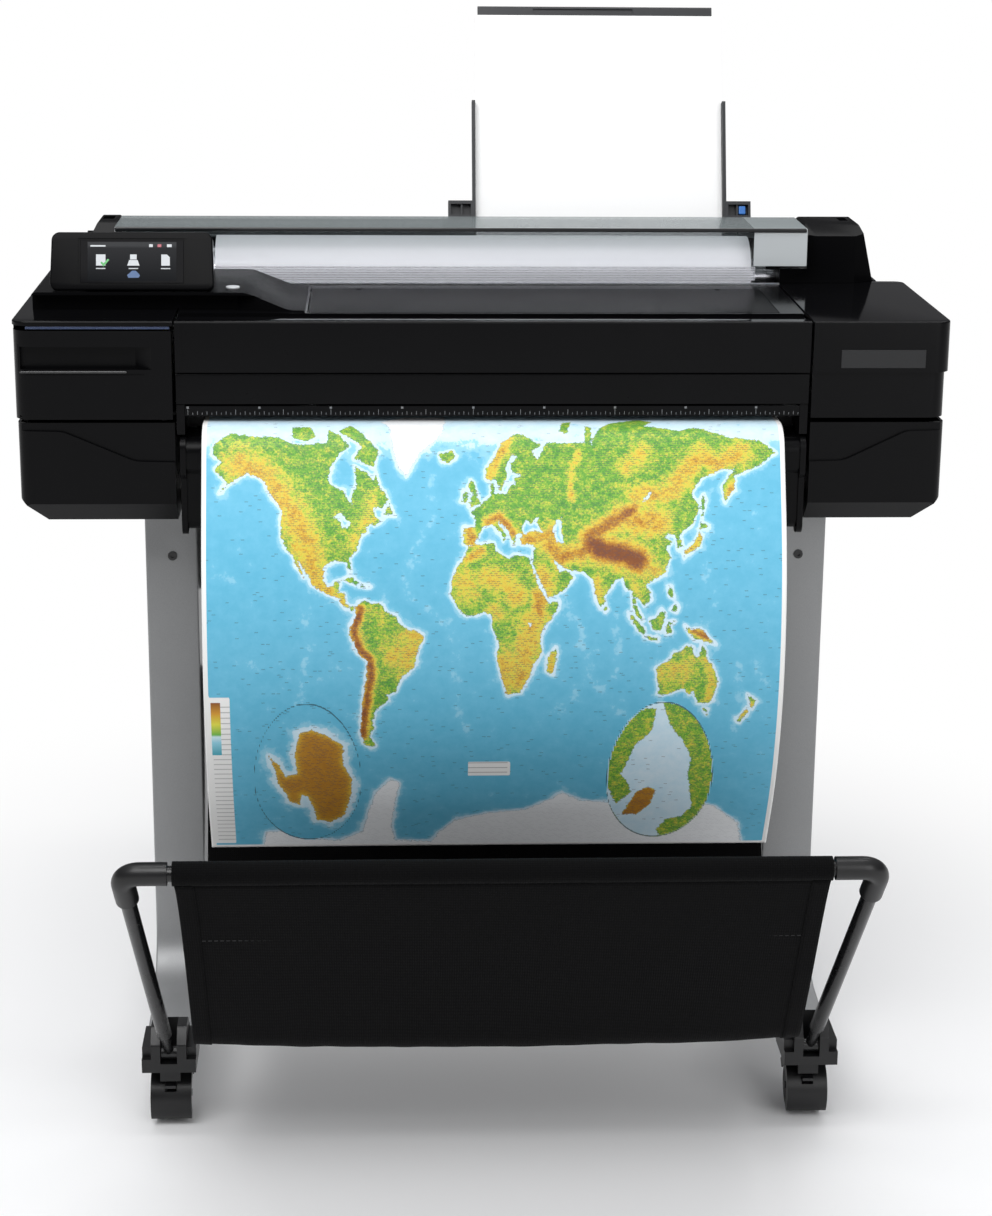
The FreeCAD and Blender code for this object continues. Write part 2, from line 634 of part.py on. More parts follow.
def panel_support():
    """Raised wing that carries the display and sweeps down to the lid."""
    section = [
        (-480, DECK_Z), (-480, WING_Z, 5), (-252, WING_Z, 26), (-207, DECK_Z + 1.5, 26),
        (-190, DECK_Z + 1.5), (-190, DECK_Z),
    ]
    wing = prism(section, "y", 60, 236)
    front_cut = [(-481, 59), (-481, 84), (-262, 84), (-236, 66), (-189, 60), (-189, 59)]
    lip_cut = [(-481, 59), (-481, 70), (-262, 70), (-240, 65.5), (-189, 60), (-189, 59)]
    lower = wing.cut(prism(front_cut, "z", DECK_Z - 1, WING_Z - 3))
    wing = lower.cut(prism(lip_cut, "z", WING_Z - 3, WING_Z + 1))
    wing = wing.cut(box(-476, -256, 88, 232, DECK_Z - 1, WING_Z - WALL))
    y, z = display_pivot()
    middle = (DISPLAY_X0 + DISPLAY_X1) / 2
    wing = wing.cut(box(middle - 48, middle + 48, y - 4, y + 4.5, DECK_Z - 1, WING_Z + 1))
    return wing.cut(rod_z(WING_Z - 5, WING_Z + 1, BUTTON_X, BUTTON_Y, BUTTON_R + 0.4))


def power_button():
    cap = rod_z(WING_Z - 8, WING_Z + 1.6, BUTTON_X, BUTTON_Y, BUTTON_R)
    return rounded(cap, 1, lambda p: p.z > WING_Z + 1.5)


def display_housing():
    """Tilting case of the touch display, built upright and then leaned back."""
    half = (DISPLAY_X1 - DISPLAY_X0) / 2
    outline = [(-half, 0, 8), (half, 0, 8), (half - 2, DISPLAY_H, 9), (-half + 2, DISPLAY_H, 9)]
    case = prism(outline, "y", 0, 13)
    case = rounded(case, 1.6, lambda p: p.y < 0.01)
    case = case.cut(box(-half + 30, half - 30, -1, 1.2, 7, DISPLAY_H - 7))
    knuckle = rod_x(-40, 40, KNUCKLE_Y, KNUCKLE_Z, 4)
    web = box(-40, 40, 12, KNUCKLE_Y, KNUCKLE_Z - 3.5, KNUCKLE_Z + 3.5)
    case = fuse(case, knuckle, web).cut(rod_x(-41, 41, KNUCKLE_Y, KNUCKLE_Z, 1.5 + CLEAR))
    case.translate(V((DISPLAY_X0 + DISPLAY_X1) / 2, 0, 0))
    case = lean(case, DISPLAY_LEAN, DISPLAY_Y, DISPLAY_Z)
    return case.cut(box(DISPLAY_X0 - 1, DISPLAY_X1 + 1, DISPLAY_Y - 5, DISPLAY_Y + 40, WING_Z - 9, WING_Z + 0.6))


def display_pivot():
    """(y, z) of the display's tilt axis."""
    angle = math.radians(DISPLAY_LEAN)
    y = DISPLAY_Y + KNUCKLE_Y * math.cos(angle) + KNUCKLE_Z * math.sin(angle)
    z = DISPLAY_Z - KNUCKLE_Y * math.sin(angle) + KNUCKLE_Z * math.cos(angle)
    return y, z


def display_hinge():
    """Pin and two posts that hold the display's knuckle over the wing."""
    y, z = display_pivot()
    middle = (DISPLAY_X0 + DISPLAY_X1) / 2
    pin = rod_x(middle - 46, middle + 46, y, z, 1.5)
    posts = [box(middle + x, middle + x + 5, y - 2.4, y + 2.8, DECK_Z, z + 2.2) for x in (-46, 41)]
    return fuse(pin, *posts)


# ---- roll housing ----
def rear_housing():
    """Back of the body: floor, back wall and top lip in one folded shell."""
    path = [(DECK_DEPTH + 3, BODY_Z + 1.5, 0), (REAR_Y - 1.5, BODY_Z + 1.5, 44), (REAR_Y - 1.5, 897, 4), (459, 897, 0)]
    shell = sheet_x(path, WALL, -460, 460)
    side = [(DECK_DEPTH + 3, BODY_Z), (REAR_Y, BODY_Z, 45), (REAR_Y, DECK_Z), (DECK_DEPTH + 3, DECK_Z)]
    left = prism(side, "x", -463, -460)
    right = prism(side, "x", 460, 463)
    ports = [box(-300, -272, REAR_Y - 5, REAR_Y + 1, 700, 720), box(-240, -224, REAR_Y - 5, REAR_Y + 1, 700, 716),
             box(-215, -201, REAR_Y - 5, REAR_Y + 1, 700, 708)]
    body = fuse(shell, left, right).cut(box(459, 464, 330, 378, 690, 722))
    for hole in ports:
        body = body.cut(hole)
    for row in range(4):
        vent = box(60, 300, REAR_Y - 5, REAR_Y + 1, 715 + 9 * row, 719 + 9 * row)
        body = body.cut(vent)
    return body


def slot_lip():
    """Front edge of the sheet slot, between the end blocks."""
    path = [(420, 886, 0), (428.5, 886, 3), (424, 872, 0)]
    return sheet_x(path, WALL, -407, 345)


def roll_trough():
    """Curved floor under the roll."""
    radius = ROLL_R + 9
    outer = rod_x(-398, 340, ROLL_Y, ROLL_Z, radius + 2)
    ring = outer.cut(rod_x(-399, 341, ROLL_Y, ROLL_Z, radius))
    keep = prism([(ROLL_Y + 6, ROLL_Z), (ROLL_Y + 6, ROLL_Z - 80), (ROLL_Y + 80, ROLL_Z - 80),
                  (ROLL_Y + 80, ROLL_Z)], "x", -399, 341)
    return ring.common(keep)


def block_trim(shape, x0, x1):
    """Slope the front top edge and the rear of an end block."""
    top_front = [(BLOCK_FRONT - 1, 921.6), (BLOCK_FRONT - 1, 940), (300, 940), (298, TOP_Z)]
    top_rear = [(COVER_BACK + 4, TOP_Z + 1), (BLOCK_BACK + 1, TOP_Z + 1), (BLOCK_BACK + 1, 888), (426, 888)]
    shape = shape.cut(prism(top_front, "x", x0 - 1, x1 + 1))
    return shape.cut(prism(top_rear, "x", x0 - 1, x1 + 1))


def roll_end_right():
    """Right end block: spindle bearing, drive cover and hinge seat of the roll cover."""
    face = [(346.8, DECK_Z + 0.3), (346.8, 886), (376.5, 886), (376.5, 925, 3), (381, TOP_Z, 3), (442, TOP_Z, 3),
            (458, DECK_Z + 0.3)]
    upper = prism(face, "y", BLOCK_FRONT, BLOCK_BACK)
    lower = box(346.8, 458, DECK_DEPTH + 3.5, BLOCK_BACK, 800, DECK_Z + 0.3)
    block = fuse(upper, lower)
    chamfer_right = [(434, BLOCK_FRONT - 1), (434, BLOCK_FRONT), (470, BLOCK_FRONT + 26), (470, BLOCK_FRONT - 1)]
    chamfer_left = [(376, BLOCK_FRONT - 1), (388, BLOCK_FRONT - 1), (388, BLOCK_FRONT), (376, BLOCK_FRONT + 5)]
    block = block.cut(prism(chamfer_right, "z", DECK_Z, TOP_Z + 1))
    block = block.cut(prism(chamfer_left, "z", 887, TOP_Z + 1))
    block = block_trim(block, 346, 459)
    block = block.cut(box(424, 434, 318, 344, TOP_Z - 4, TOP_Z + 1))
    block = block.cut(box(352, 453, 285, 392, 803, 884))
    block = block.cut(box(346, 376.5, 376, BLOCK_BACK + 1, DECK_Z, 890))
    block = block.cut(rod_x(346, 410, ROLL_Y, ROLL_Z, SPINDLE_R + CLEAR))
    return block.cut(rod_x(362, 390, COVER_PIVOT_Y, COVER_PIVOT_Z, 3))


def roll_end_left():
    face = [(-456, DECK_Z + 0.3), (-430, TOP_Z, 3), (-408.5, TOP_Z, 2), (-408.5, DECK_Z + 0.3)]
    upper = prism(face, "y", BLOCK_FRONT, BLOCK_BACK)
    lower = box(-456, -408.5, DECK_DEPTH + 3.5, BLOCK_BACK, 800, DECK_Z + 0.3)
    block = block_trim(fuse(upper, lower), -457, -407)
    block = block.cut(box(-427, -414, 318, 344, TOP_Z - 4, TOP_Z + 1))
    block = block.cut(box(-450, -414, 285, 392, 803, 884))
    block = block.cut(rod_x(-440, -407, ROLL_Y, ROLL_Z, SPINDLE_R + CLEAR))
    return block.cut(rod_x(-424, -400, COVER_PIVOT_Y, COVER_PIVOT_Z, 3))


def roll_cover_pins():
    left = rod_x(-424, -396, COVER_PIVOT_Y, COVER_PIVOT_Z, 3)
    right = rod_x(362, 390, COVER_PIVOT_Y, COVER_PIVOT_Z, 3)
    return group(left, right)


def roll_cover():
    """Smoked see-through cover over the roll, with its two hinge arms."""
    top = TOP_Z - 1.5
    path = [(COVER_FRONT + 1.5, DECK_Z + 1, 0), (COVER_FRONT + 1.5, top, 5), (COVER_BACK, top, 8), (398, 902, 0)]
    shell = sheet_x(path, WALL, COVER_X0, COVER_X1)
    notch = box(345, COVER_X1 + 1, COVER_FRONT - 1, 420, DECK_Z, 887)
    shell = shell.cut(notch)
    arms = []
    for x0, x1 in ((COVER_X0, COVER_X0 + 9), (COVER_X1 - 12, COVER_X1 - 3)):
        arm = [(COVER_BACK + 2, TOP_Z - 3), (COVER_PIVOT_Y + 5, 895, 4), (COVER_PIVOT_Y + 5, COVER_PIVOT_Z - 5, 4),
               (COVER_PIVOT_Y - 6, COVER_PIVOT_Z - 5, 4), (COVER_BACK - 6, TOP_Z - 12)]
        arms.append(prism(arm, "x", x0, x1))
    cover = fuse(shell, *arms)
    return cover.cut(rod_x(COVER_X0 - 1, COVER_X1 + 1, COVER_PIVOT_Y, COVER_PIVOT_Z, 3 + CLEAR))


# ---- roll, spindle and paper ----
def paper_roll():
    outer = rod_x(PAPER_X0, PAPER_X1, ROLL_Y, ROLL_Z, ROLL_R)
    return outer.cut(rod_x(PAPER_X0 - 1, PAPER_X1 + 1, ROLL_Y, ROLL_Z, CORE_R))


def spindle():
    return rod_x(-437, 404, ROLL_Y, ROLL_Z, SPINDLE_R)


def spindle_hubs():
    """Core plugs with flanges, one at each end of the roll."""
    hubs = []
    for edge, side in ((PAPER_X0, -1), (PAPER_X1, 1)):
        flange_x = sorted((edge, edge + side * 4))
        plug_x = sorted((edge, edge - side * 30))
        collar_x = sorted((edge + side * 4, edge + side * 22))
        flange = rod_x(flange_x[0], flange_x[1], ROLL_Y, ROLL_Z, 33)
        plug = rod_x(plug_x[0], plug_x[1], ROLL_Y, ROLL_Z, CORE_R)
        collar = rod_x(collar_x[0], collar_x[1], ROLL_Y, ROLL_Z, 13)
        hub = fuse(flange, plug, collar)
        hubs.append(hub.cut(rod_x(edge - 60, edge + 60, ROLL_Y, ROLL_Z, SPINDLE_R)))
    return group(*hubs)


def paper_path():
    """Web from under the roll, over the feed roller and out over the nose."""
    reach_y, reach_z = ROLL_Y - 195, ROLL_Z - PAPER_Z
    distance = math.hypot(reach_y, reach_z)
    radius = ROLL_R + PAPER_T / 2 + PAPER_GAP
    angle = math.atan2(reach_z, reach_y) - math.asin(radius / distance)
    length = math.sqrt(distance ** 2 - radius ** 2)
    start = (195 + length * math.cos(angle), PAPER_Z + length * math.sin(angle), 0)
    return [start, (195, PAPER_Z, 40), (-26, PAPER_Z, 34), (-138, 505, 380), (-14, 290, 0)]


def printed_sheet():
    return sheet_x(paper_path(), PAPER_T, PAPER_X0, PAPER_X1)


# ---- paper drive ----
def platen():
    plate = box(CENTRE_X0 + 6, CENTRE_X1 - 6, 62, 166, 744, 757)
    ribs = [box(x, x + 3, 66, 162, 757, PAPER_Z - 0.8) for x in range(-310, 332, 32)]
    plate = plate.cut(box(CENTRE_X0 + 9, CENTRE_X1 - 9, 66, 162, 743, 753))
    return fuse(plate, *ribs)


def side_plate(side):
    """Steel plate that carries the roller shafts."""
    x = CENTRE_X0 + 3 if side < 0 else CENTRE_X1 - 3
    plate = box(x - 1.5, x + 1.5, 62.5, 235, 655, 772.5)
    plate = plate.cut(rod_x(x - 2, x + 2, FEED_Y, FEED_Z, 5 + CLEAR))
    return plate.cut(rod_x(x - 2, x + 2, FEED_Y, PINCH_Z, 2.5 + CLEAR))


def feed_roller():
    roller = rod_x(-312, 330, FEED_Y, FEED_Z, FEED_R)
    shaft = rod_x(-352, 345.5, FEED_Y, FEED_Z, 5)
    return fuse(roller, shaft)


def feed_pulley():
    pulley = rod_x(-351, -341, FEED_Y, FEED_Z, FEED_PULLEY_R)
    for low, high in ((-352.5, -351), (-341, -339.5)):
        pulley = fuse(pulley, rod_x(low, high, FEED_Y, FEED_Z, FEED_PULLEY_R + 2))
    return pulley.cut(rod_x(-353, -338, FEED_Y, FEED_Z, 5))


def pinch_rollers():
    shaft = rod_x(-325.5, 345.5, FEED_Y, PINCH_Z, 2.5)
    wheels = [rod_x(x, x + 24, FEED_Y, PINCH_Z, PINCH_R) for x in range(-300, 300, 66)]
    return fuse(shaft, *wheels)


def feed_motor():
    case = rod_x(-398, -360, MOTOR_Y, MOTOR_Z, 21)
    flange = box(-360, -357, MOTOR_Y - 25, MOTOR_Y + 25, MOTOR_Z - 23, SPLIT_Z)
    boss = rod_x(-357, -355, MOTOR_Y, MOTOR_Z, 8)
    return fuse(case, flange, boss).cut(rod_x(-390, -354, MOTOR_Y, MOTOR_Z, 2.5 + CLEAR))


def feed_motor_shaft():
    shaft = rod_x(-388, -339, MOTOR_Y, MOTOR_Z, 2.5)
    pulley = rod_x(-351, -341, MOTOR_Y, MOTOR_Z, MOTOR_PULLEY_R)
    flange = rod_x(-341, -339.5, MOTOR_Y, MOTOR_Z, MOTOR_PULLEY_R + 2)
    return fuse(shaft, pulley, flange)


def belt_loop(first, second, radius_1, radius_2, thickness):
    """Closed belt outline round two pulleys, in their common plane. Returns outer and inner rings."""
    rings = []
    for extra in (0.35 + thickness, 0.35):
        r1, r2 = radius_1 + extra, radius_2 + extra
        da, db = second[0] - first[0], second[1] - first[1]
        distance = math.hypot(da, db)
        base = math.atan2(db, da)
        offset = math.acos((r1 - r2) / distance)
        spots = []
        for centre, radius, angle in ((first, r1, base + offset), (second, r2, base + offset),
                                      (second, r2, base), (second, r2, base - offset),
                                      (first, r1, base - offset), (first, r1, base + math.pi)):
            spots.append((centre[0] + radius * math.cos(angle), centre[1] + radius * math.sin(angle)))
        rings.append(spots)
    return rings


def belt_face(spots, place):
    points = [place(a, b) for a, b in spots]
    edges = [
        Part.LineSegment(points[0], points[1]).toShape(), Part.Arc(points[1], points[2], points[3]).toShape(),
        Part.LineSegment(points[3], points[4]).toShape(), Part.Arc(points[4], points[5], points[0]).toShape(),
    ]
    return Part.Face(Part.Wire(edges))


def feed_belt():
    outer, inner = belt_loop((FEED_Y, FEED_Z), (MOTOR_Y, MOTOR_Z), FEED_PULLEY_R, MOTOR_PULLEY_R, 1.4)
    place = lambda a, b: V(-349.5, a, b)
    along = V(7, 0, 0)
    return belt_face(outer, place).extrude(along).cut(belt_face(inner, place).extrude(along))


# ---- carriage ----
def carriage_rod():
    return rod_x(-HALF + 6, HALF - 8, ROD_Y, ROD_Z, ROD_R)


def carriage_beam():
    """Folded steel beam behind the carriage, with the rod's end brackets."""
    path = [(224, 856, 0), (240, 856, 2), (240, 786, 2), (226, 786, 0)]
    beam = sheet_x(path, 2.0, -472, 472)
    ends = [box(x, x + 4, ROD_Y - 10, 239, ROD_Z - 10, ROD_Z + 12) for x in (-HALF + 8, HALF - 16)]
    beam = fuse(beam, *ends).cut(carriage_rod())
    for side in (-1, 1):
        beam = beam.cut(rod_y(222, 244, side * BELT_END_X, BELT_Z, 2.5 + CLEAR))
    return beam


def carriage():
    """Box that rides on the rod and carries the printhead."""
    half = CARRIAGE_W / 2
    x0, x1 = CARRIAGE_X - half, CARRIAGE_X + half
    body = box(x0, x1, 138, 212, 782, 850)
    body = rounded(body, 4, lambda p: p.z > 849.9)
    body = body.cut(box(x0 + 3, x1 - 3, 142, 176, 786, 846))
    body = body.cut(box(x0 + 8, x1 - 8, 146, 172, 780, 790))
    belt_top = BELT_Z + BELT_PULLEY_R
    jaws = [box(CARRIAGE_X - 10, CARRIAGE_X + 10, 211, 221, low, low + 3) for low in (belt_top - 3, belt_top + 2.2)]
    return fuse(body, *jaws).cut(rod_x(x0 - 1, x1 + 1, ROD_Y, ROD_Z, ROD_R + CLEAR))


def printhead():
    half = CARRIAGE_W / 2
    x0, x1 = CARRIAGE_X - half, CARRIAGE_X + half
    upper = box(x0 + 6, x1 - 6, 144, 174, 790.5, 836)
    nozzle = box(x0 + 14, x1 - 14, 149, 169, 777, 790.5)
    return fuse(upper, nozzle)


def carriage_belt():
    low, high = (-BELT_END_X, BELT_Z), (BELT_END_X, BELT_Z)
    outer, inner = belt_loop(low, high, BELT_PULLEY_R, BELT_PULLEY_R, 1.4)
    place = lambda a, b: V(a, BELT_Y - 2.5, b)
    along = V(0, 5, 0)
    return belt_face(outer, place).extrude(along).cut(belt_face(inner, place).extrude(along))


def belt_pulley(side):
    x = side * BELT_END_X
    wheel = rod_y(BELT_Y - 3.5, BELT_Y + 3.5, x, BELT_Z, BELT_PULLEY_R)
    shaft = rod_y(BELT_Y - 3.5, 251 if side > 0 else 241, x, BELT_Z, 2.5)
    return fuse(wheel, shaft)


def carriage_motor():
    """Motor behind the beam at the parking end; its shaft carries the drive pulley."""
    case = rod_y(241.2, 268, BELT_END_X, BELT_Z, 18)
    bore = rod_y(240, 252, BELT_END_X, BELT_Z, 2.5 + CLEAR)
    return case.cut(bore)


def service_station():
    """Cap and wiper unit under the parked printhead."""
    tub = box(CARRIAGE_X - 45, CARRIAGE_X + 45, 100, 205, SPLIT_Z + WALL, 774)
    tub = tub.cut(box(CARRIAGE_X - 41, CARRIAGE_X + 41, 104, 201, 770, 775))
    cap = box(CARRIAGE_X - 34, CARRIAGE_X + 34, 147, 171, 770, 776.4)
    cap = cap.cut(box(CARRIAGE_X - 31, CARRIAGE_X + 31, 150, 168, 773, 777))
    return fuse(tub, cap)


def cutter_track():
    return box(CENTRE_X0 + 10, CENTRE_X1 - 10, 42, 46, 763.5, 772)


def cutter():
    """Small rotary cutter that runs across the slot on its track."""
    body = box(300, 326, 22, 41.6, 763.8, 778)
    hook = box(300, 326, 22, 50, 772.4, 778)
    wheel = rod_y(24, 25.2, 313, 765.5, 3.6)
    return fuse(body, hook, wheel)


# ---- ink ----
def ink_cartridge(index):
    x = CARTRIDGE_X0 + CARTRIDGE_PITCH * index
    y1 = CARTRIDGE_Y + CARTRIDGE_DEPTH
    body = box(x, x + CARTRIDGE_W, CARTRIDGE_Y, y1, 772.5, 850)
    body = rounded(body, 3, lambda p: p.y < CARTRIDGE_Y + 0.1)
    grip = box(x + 6, x + CARTRIDGE_W - 6, CARTRIDGE_Y - 1, CARTRIDGE_Y + 5, 806, 822)
    port = rod_y(y1 - 12, y1 + 1, x + CARTRIDGE_W / 2, 790, 3.2)
    return body.cut(grip).cut(port)


def ink_station():
    """Rack with one guide bay and one ink needle for each cartridge."""
    x0 = CARTRIDGE_X0 - 3
    x1 = CARTRIDGE_X0 + CARTRIDGE_PITCH * 4 + 0.5
    floor = box(x0, x1, 26, 128, SPLIT_Z + WALL, 772)
    back = box(x0, x1, CARTRIDGE_Y + CARTRIDGE_DEPTH + 1, 128, 772, 846)
    rack = fuse(floor, back)
    for i in range(4):
        x = CARTRIDGE_X0 + CARTRIDGE_PITCH * i
        needle = rod_y(CARTRIDGE_Y + CARTRIDGE_DEPTH - 9, 120, x + CARTRIDGE_W / 2, 790, 2.6)
        rack = fuse(rack, needle)
    return rack


# ---- electronics ----
def main_board():
    board = box(-290, -120, 400, 402, 690, 800)
    parts = [box(-280, -240, 402, 408, 740, 780), box(-220, -160, 402, 412, 720, 750), box(-150, -130, 402, 414, 700, 790)]
    return fuse(board, *parts)


def port_block():
    """Network and USB sockets behind the openings in the back wall."""
    sockets = []
    for x0, x1, z0, z1 in ((-300, -272, 700, 720), (-240, -224, 700, 716), (-215, -201, 700, 708)):
        body = box(x0 + 0.2, x1 - 0.2, REAR_Y - 18, REAR_Y - 0.5, z0 + 0.2, z1 - 0.2)
        sockets.append(body.cut(box(x0 + 2, x1 - 2, REAR_Y - 14, REAR_Y + 1, z0 + 2, z1 - 2)))
    return group(*sockets)


def power_supply():
    case = box(-20, 150, 330, 400, 656, 712)
    for i in range(6):
        case = case.cut(box(0 + 22 * i, 10 + 22 * i, 329, 333, 664, 704))
    return case


def power_inlet():
    """Three-pin appliance inlet in the right end wall."""
    frame = box(458, 466, 330, 378, 690, 722)
    frame = frame.cut(box(461, 467, 336, 372, 694, 718))
    blades = [box(461, 464.5, y, y + 2, 701, 711) for y in (343, 363)]
    blades.append(box(461, 464.5, 353, 355, 698, 705))
    return fuse(frame, *blades)


# ---- sheet tray ----
def tray_base():
    """Back plate of the sheet feed with a sleeve for the pull-out extension."""
    plate = box(10, 300, 4.2, 7.2, -4, 140)
    rails = [box(10, 16, 7.2, 13, -4, 140), box(294, 300, 7.2, 13, -4, 140)]
    lips = [box(16, 20, 11.8, 13, -4, 140), box(290, 294, 11.8, 13, -4, 140)]
    foot = box(-34, 344, 4.2, 16, -4, 12)
    return lean(fuse(plate, foot, *rails, *lips), TRAY_LEAN, TRAY_Y, TRAY_Z)


def tray_extension():
    """Pull-out stop plate; its folded top shows above the sheets."""
    plate = box(16.5, 293.5, 8.6, 11.2, 110, TRAY_LENGTH - 12)
    plate = plate.cut(box(40, 270, 8, 12, 135, 225))
    top = box(10, 294, 3.8, 12, TRAY_LENGTH - 12, TRAY_LENGTH)
    window = box(77, 198, 3, 6, TRAY_LENGTH - 9, TRAY_LENGTH - 3)
    top = rounded(top, 2, lambda p: p.z > TRAY_LENGTH - 0.01 and p.y < 4)
    return lean(fuse(plate, top).cut(window), TRAY_LEAN, TRAY_Y, TRAY_Z)


def tray_guide(side):
    """Width guide: a tall fence beside the sheets on a block that slides along the tray."""
    edge = SHEET_X0 - 0.6 if side < 0 else SHEET_X0 + SHEET_W + 0.6
    fence_x = sorted((edge, edge + side * 4))
    fence = box(fence_x[0], fence_x[1], -9, 3.8, 12.6, 156)
    block_x = sorted((edge + side * 1, edge + side * 33))
    block = box(block_x[0], block_x[1], -11, 3.8, 12.6, 34)
    pocket_x = sorted((edge + side * 6, edge + side * 30))
    block = block.cut(box(pocket_x[0], pocket_x[1], -12, -2, 17, 30))
    rib_x = sorted((edge + side * 16, edge + side * 18))
    rib = box(rib_x[0], rib_x[1], -9, -2, 16, 31)
    return lean(fuse(fence, block, rib), TRAY_LEAN, TRAY_Y, TRAY_Z)


def tray_sheets():
    """Loaded sheets: they lean on the tray and turn down into the body."""
    radius = 180.0
    turn = math.radians(50)
    down = (-math.sin(SWING), -math.cos(SWING))
    bend_start = (TRAY_Y + 1.6 * math.cos(SWING), TRAY_Z - 1.6 * math.sin(SWING))
    tangent = radius * math.tan(turn / 2)
    corner = (bend_start[0] + down[0] * tangent, bend_start[1] + down[1] * tangent)
    ahead = (-math.sin(SWING + turn), -math.cos(SWING + turn))
    end = (corner[0] + ahead[0] * (tangent + 2), corner[1] + ahead[1] * (tangent + 2))
    top = (bend_start[0] - down[0] * SHEET_UP, bend_start[1] - down[1] * SHEET_UP)
    path = [(top[0], top[1], 0), (corner[0], corner[1], radius), (end[0], end[1], 0)]
    return sheet_x(path, 2.4, SHEET_X0, SHEET_X0 + SHEET_W)


# ---- build ----
def both(make):
    """Left and right solids of a fixed piece, kept as two separate solids."""
    return group(make(-1), make(1))


def build():
    os.makedirs("parts", exist_ok=True)
    for side, hand in ((-1, "left"), (1, "right")):
        save("leg_" + hand, leg(side))
        save("lower_housing_" + hand, lower_housing(side))
        save("tray_guide_" + hand, tray_guide(side))
        save("brake_lever_" + hand, brake_lever(side))
        for place, y in (("front", CASTER_FRONT_Y), ("rear", CASTER_REAR_Y)):
            save("caster_fork_" + place + "_" + hand, caster_fork(side, y))
            save("caster_wheels_" + place + "_" + hand, caster_wheels(side, y))
    for number in range(4):
        save("ink_cartridge_" + str(number + 1), ink_cartridge(number))
    save("foot_brackets", both(foot_bracket))
    save("stand_crossbars", group(stand_brace(), basket_rear_bar()))
    save("basket_frame", group(basket_bar(), both(basket_tube), both(basket_pivot)))
    save("basket_elbows", both(basket_elbow))
    save("basket_fabric", basket_fabric())
    save("output_guide", group(output_guide(), slot_ends()))
    save("right_cover", right_cover())
    save("left_cover", left_cover())
    save("front_cover", front_cover())
    save("output_panel", group(front_lower_panel(), output_ruler()))
    save("deck_plate", deck_plate())
    save("access_lid", access_lid())
    save("ink_door", ink_door())
    save("panel_support", panel_support())
    save("power_button", power_button())
    save("display_housing", display_housing())
    save("fasteners", group(leg_screws(), lid_hinge_pins(), ink_door_pins(), roll_cover_pins(), display_hinge()))
    save("rear_housing", group(rear_housing(), base_pan(), roll_trough(), slot_lip()))
    save("roll_end_right", roll_end_right())
    save("roll_end_left", roll_end_left())
    save("roll_cover", roll_cover())
    save("paper_roll", paper_roll())
    save("spindle", group(spindle(), spindle_hubs()))
    save("printed_sheet", printed_sheet())
    save("platen", group(platen(), cutter_track()))
    save("feed_roller", fuse(feed_roller(), feed_pulley()))
    save("pinch_rollers", pinch_rollers())
    save("motors_and_belts", group(feed_motor(), feed_belt(), carriage_motor(), carriage_belt()))
    save("feed_motor_shaft", feed_motor_shaft())
    save("carriage_frame", group(both(side_plate), carriage_beam(), carriage_rod()))
    save("carriage", carriage())
    save("printhead", printhead())
    save("belt_pulley_drive", belt_pulley(1))
    save("belt_pulley_idler", belt_pulley(-1))
    save("cutter", cutter())
    save("ink_system", group(ink_station(), service_station()))
    save("electronics", group(main_board(), port_block(), power_supply(), power_inlet()))
    save("tray_base", tray_base())
    save("tray_extension", tray_extension())
    save("tray_sheets", tray_sheets())


build()
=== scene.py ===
"""Looks for the large format plotter: materials, printed map, cloth basket and small trim.

Metres, in the row frame: X right, Y back, Z up from the floor.
"""

import json
import math

import bmesh
import bpy
import numpy as np
from mathutils import Matrix, Vector, noise


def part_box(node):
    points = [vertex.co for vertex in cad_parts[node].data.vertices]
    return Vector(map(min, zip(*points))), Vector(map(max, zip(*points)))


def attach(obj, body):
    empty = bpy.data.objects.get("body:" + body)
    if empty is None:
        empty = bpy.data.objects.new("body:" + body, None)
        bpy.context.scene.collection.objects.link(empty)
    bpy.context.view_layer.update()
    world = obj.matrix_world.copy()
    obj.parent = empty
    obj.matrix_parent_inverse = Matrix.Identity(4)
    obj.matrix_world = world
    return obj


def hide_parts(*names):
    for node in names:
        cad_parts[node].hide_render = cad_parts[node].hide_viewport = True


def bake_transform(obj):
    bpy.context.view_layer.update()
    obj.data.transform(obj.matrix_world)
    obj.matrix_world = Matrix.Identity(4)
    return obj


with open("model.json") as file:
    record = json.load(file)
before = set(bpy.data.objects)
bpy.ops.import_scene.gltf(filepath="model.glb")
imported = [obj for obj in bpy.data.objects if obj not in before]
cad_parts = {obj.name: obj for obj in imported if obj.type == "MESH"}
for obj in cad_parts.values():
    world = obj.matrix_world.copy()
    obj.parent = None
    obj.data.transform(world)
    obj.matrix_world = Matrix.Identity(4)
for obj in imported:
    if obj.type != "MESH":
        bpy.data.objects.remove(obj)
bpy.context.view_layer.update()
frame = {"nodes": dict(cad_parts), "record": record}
NODES = frame["nodes"]

# ---- places, read from the frame ----
BODY_LOW, BODY_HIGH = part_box("front_cover")
FRONT_Y = BODY_LOW.y                      # upper front face of the body
DECK_Z = BODY_HIGH.z
PAPER_LOW, PAPER_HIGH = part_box("printed_sheet")
FABRIC_LOW, FABRIC_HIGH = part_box("basket_fabric")
COVER_LOW, COVER_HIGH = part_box("roll_cover")
ROLL_LOW, ROLL_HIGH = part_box("paper_roll")
RULER_LOW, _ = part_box("output_panel")
MM = 0.001


def at_front(depth):
    """Y of something that lies this far behind the body's front face."""
    return FRONT_Y + depth * MM


def mm(x, y, z):
    """A corner given in millimetres, in metres."""
    return x * MM, y * MM, z * MM


def front_mm(x, depth, z):
    """A corner in millimetres, its depth counted from the body's front face, in metres."""
    return x * MM, at_front(depth), z * MM


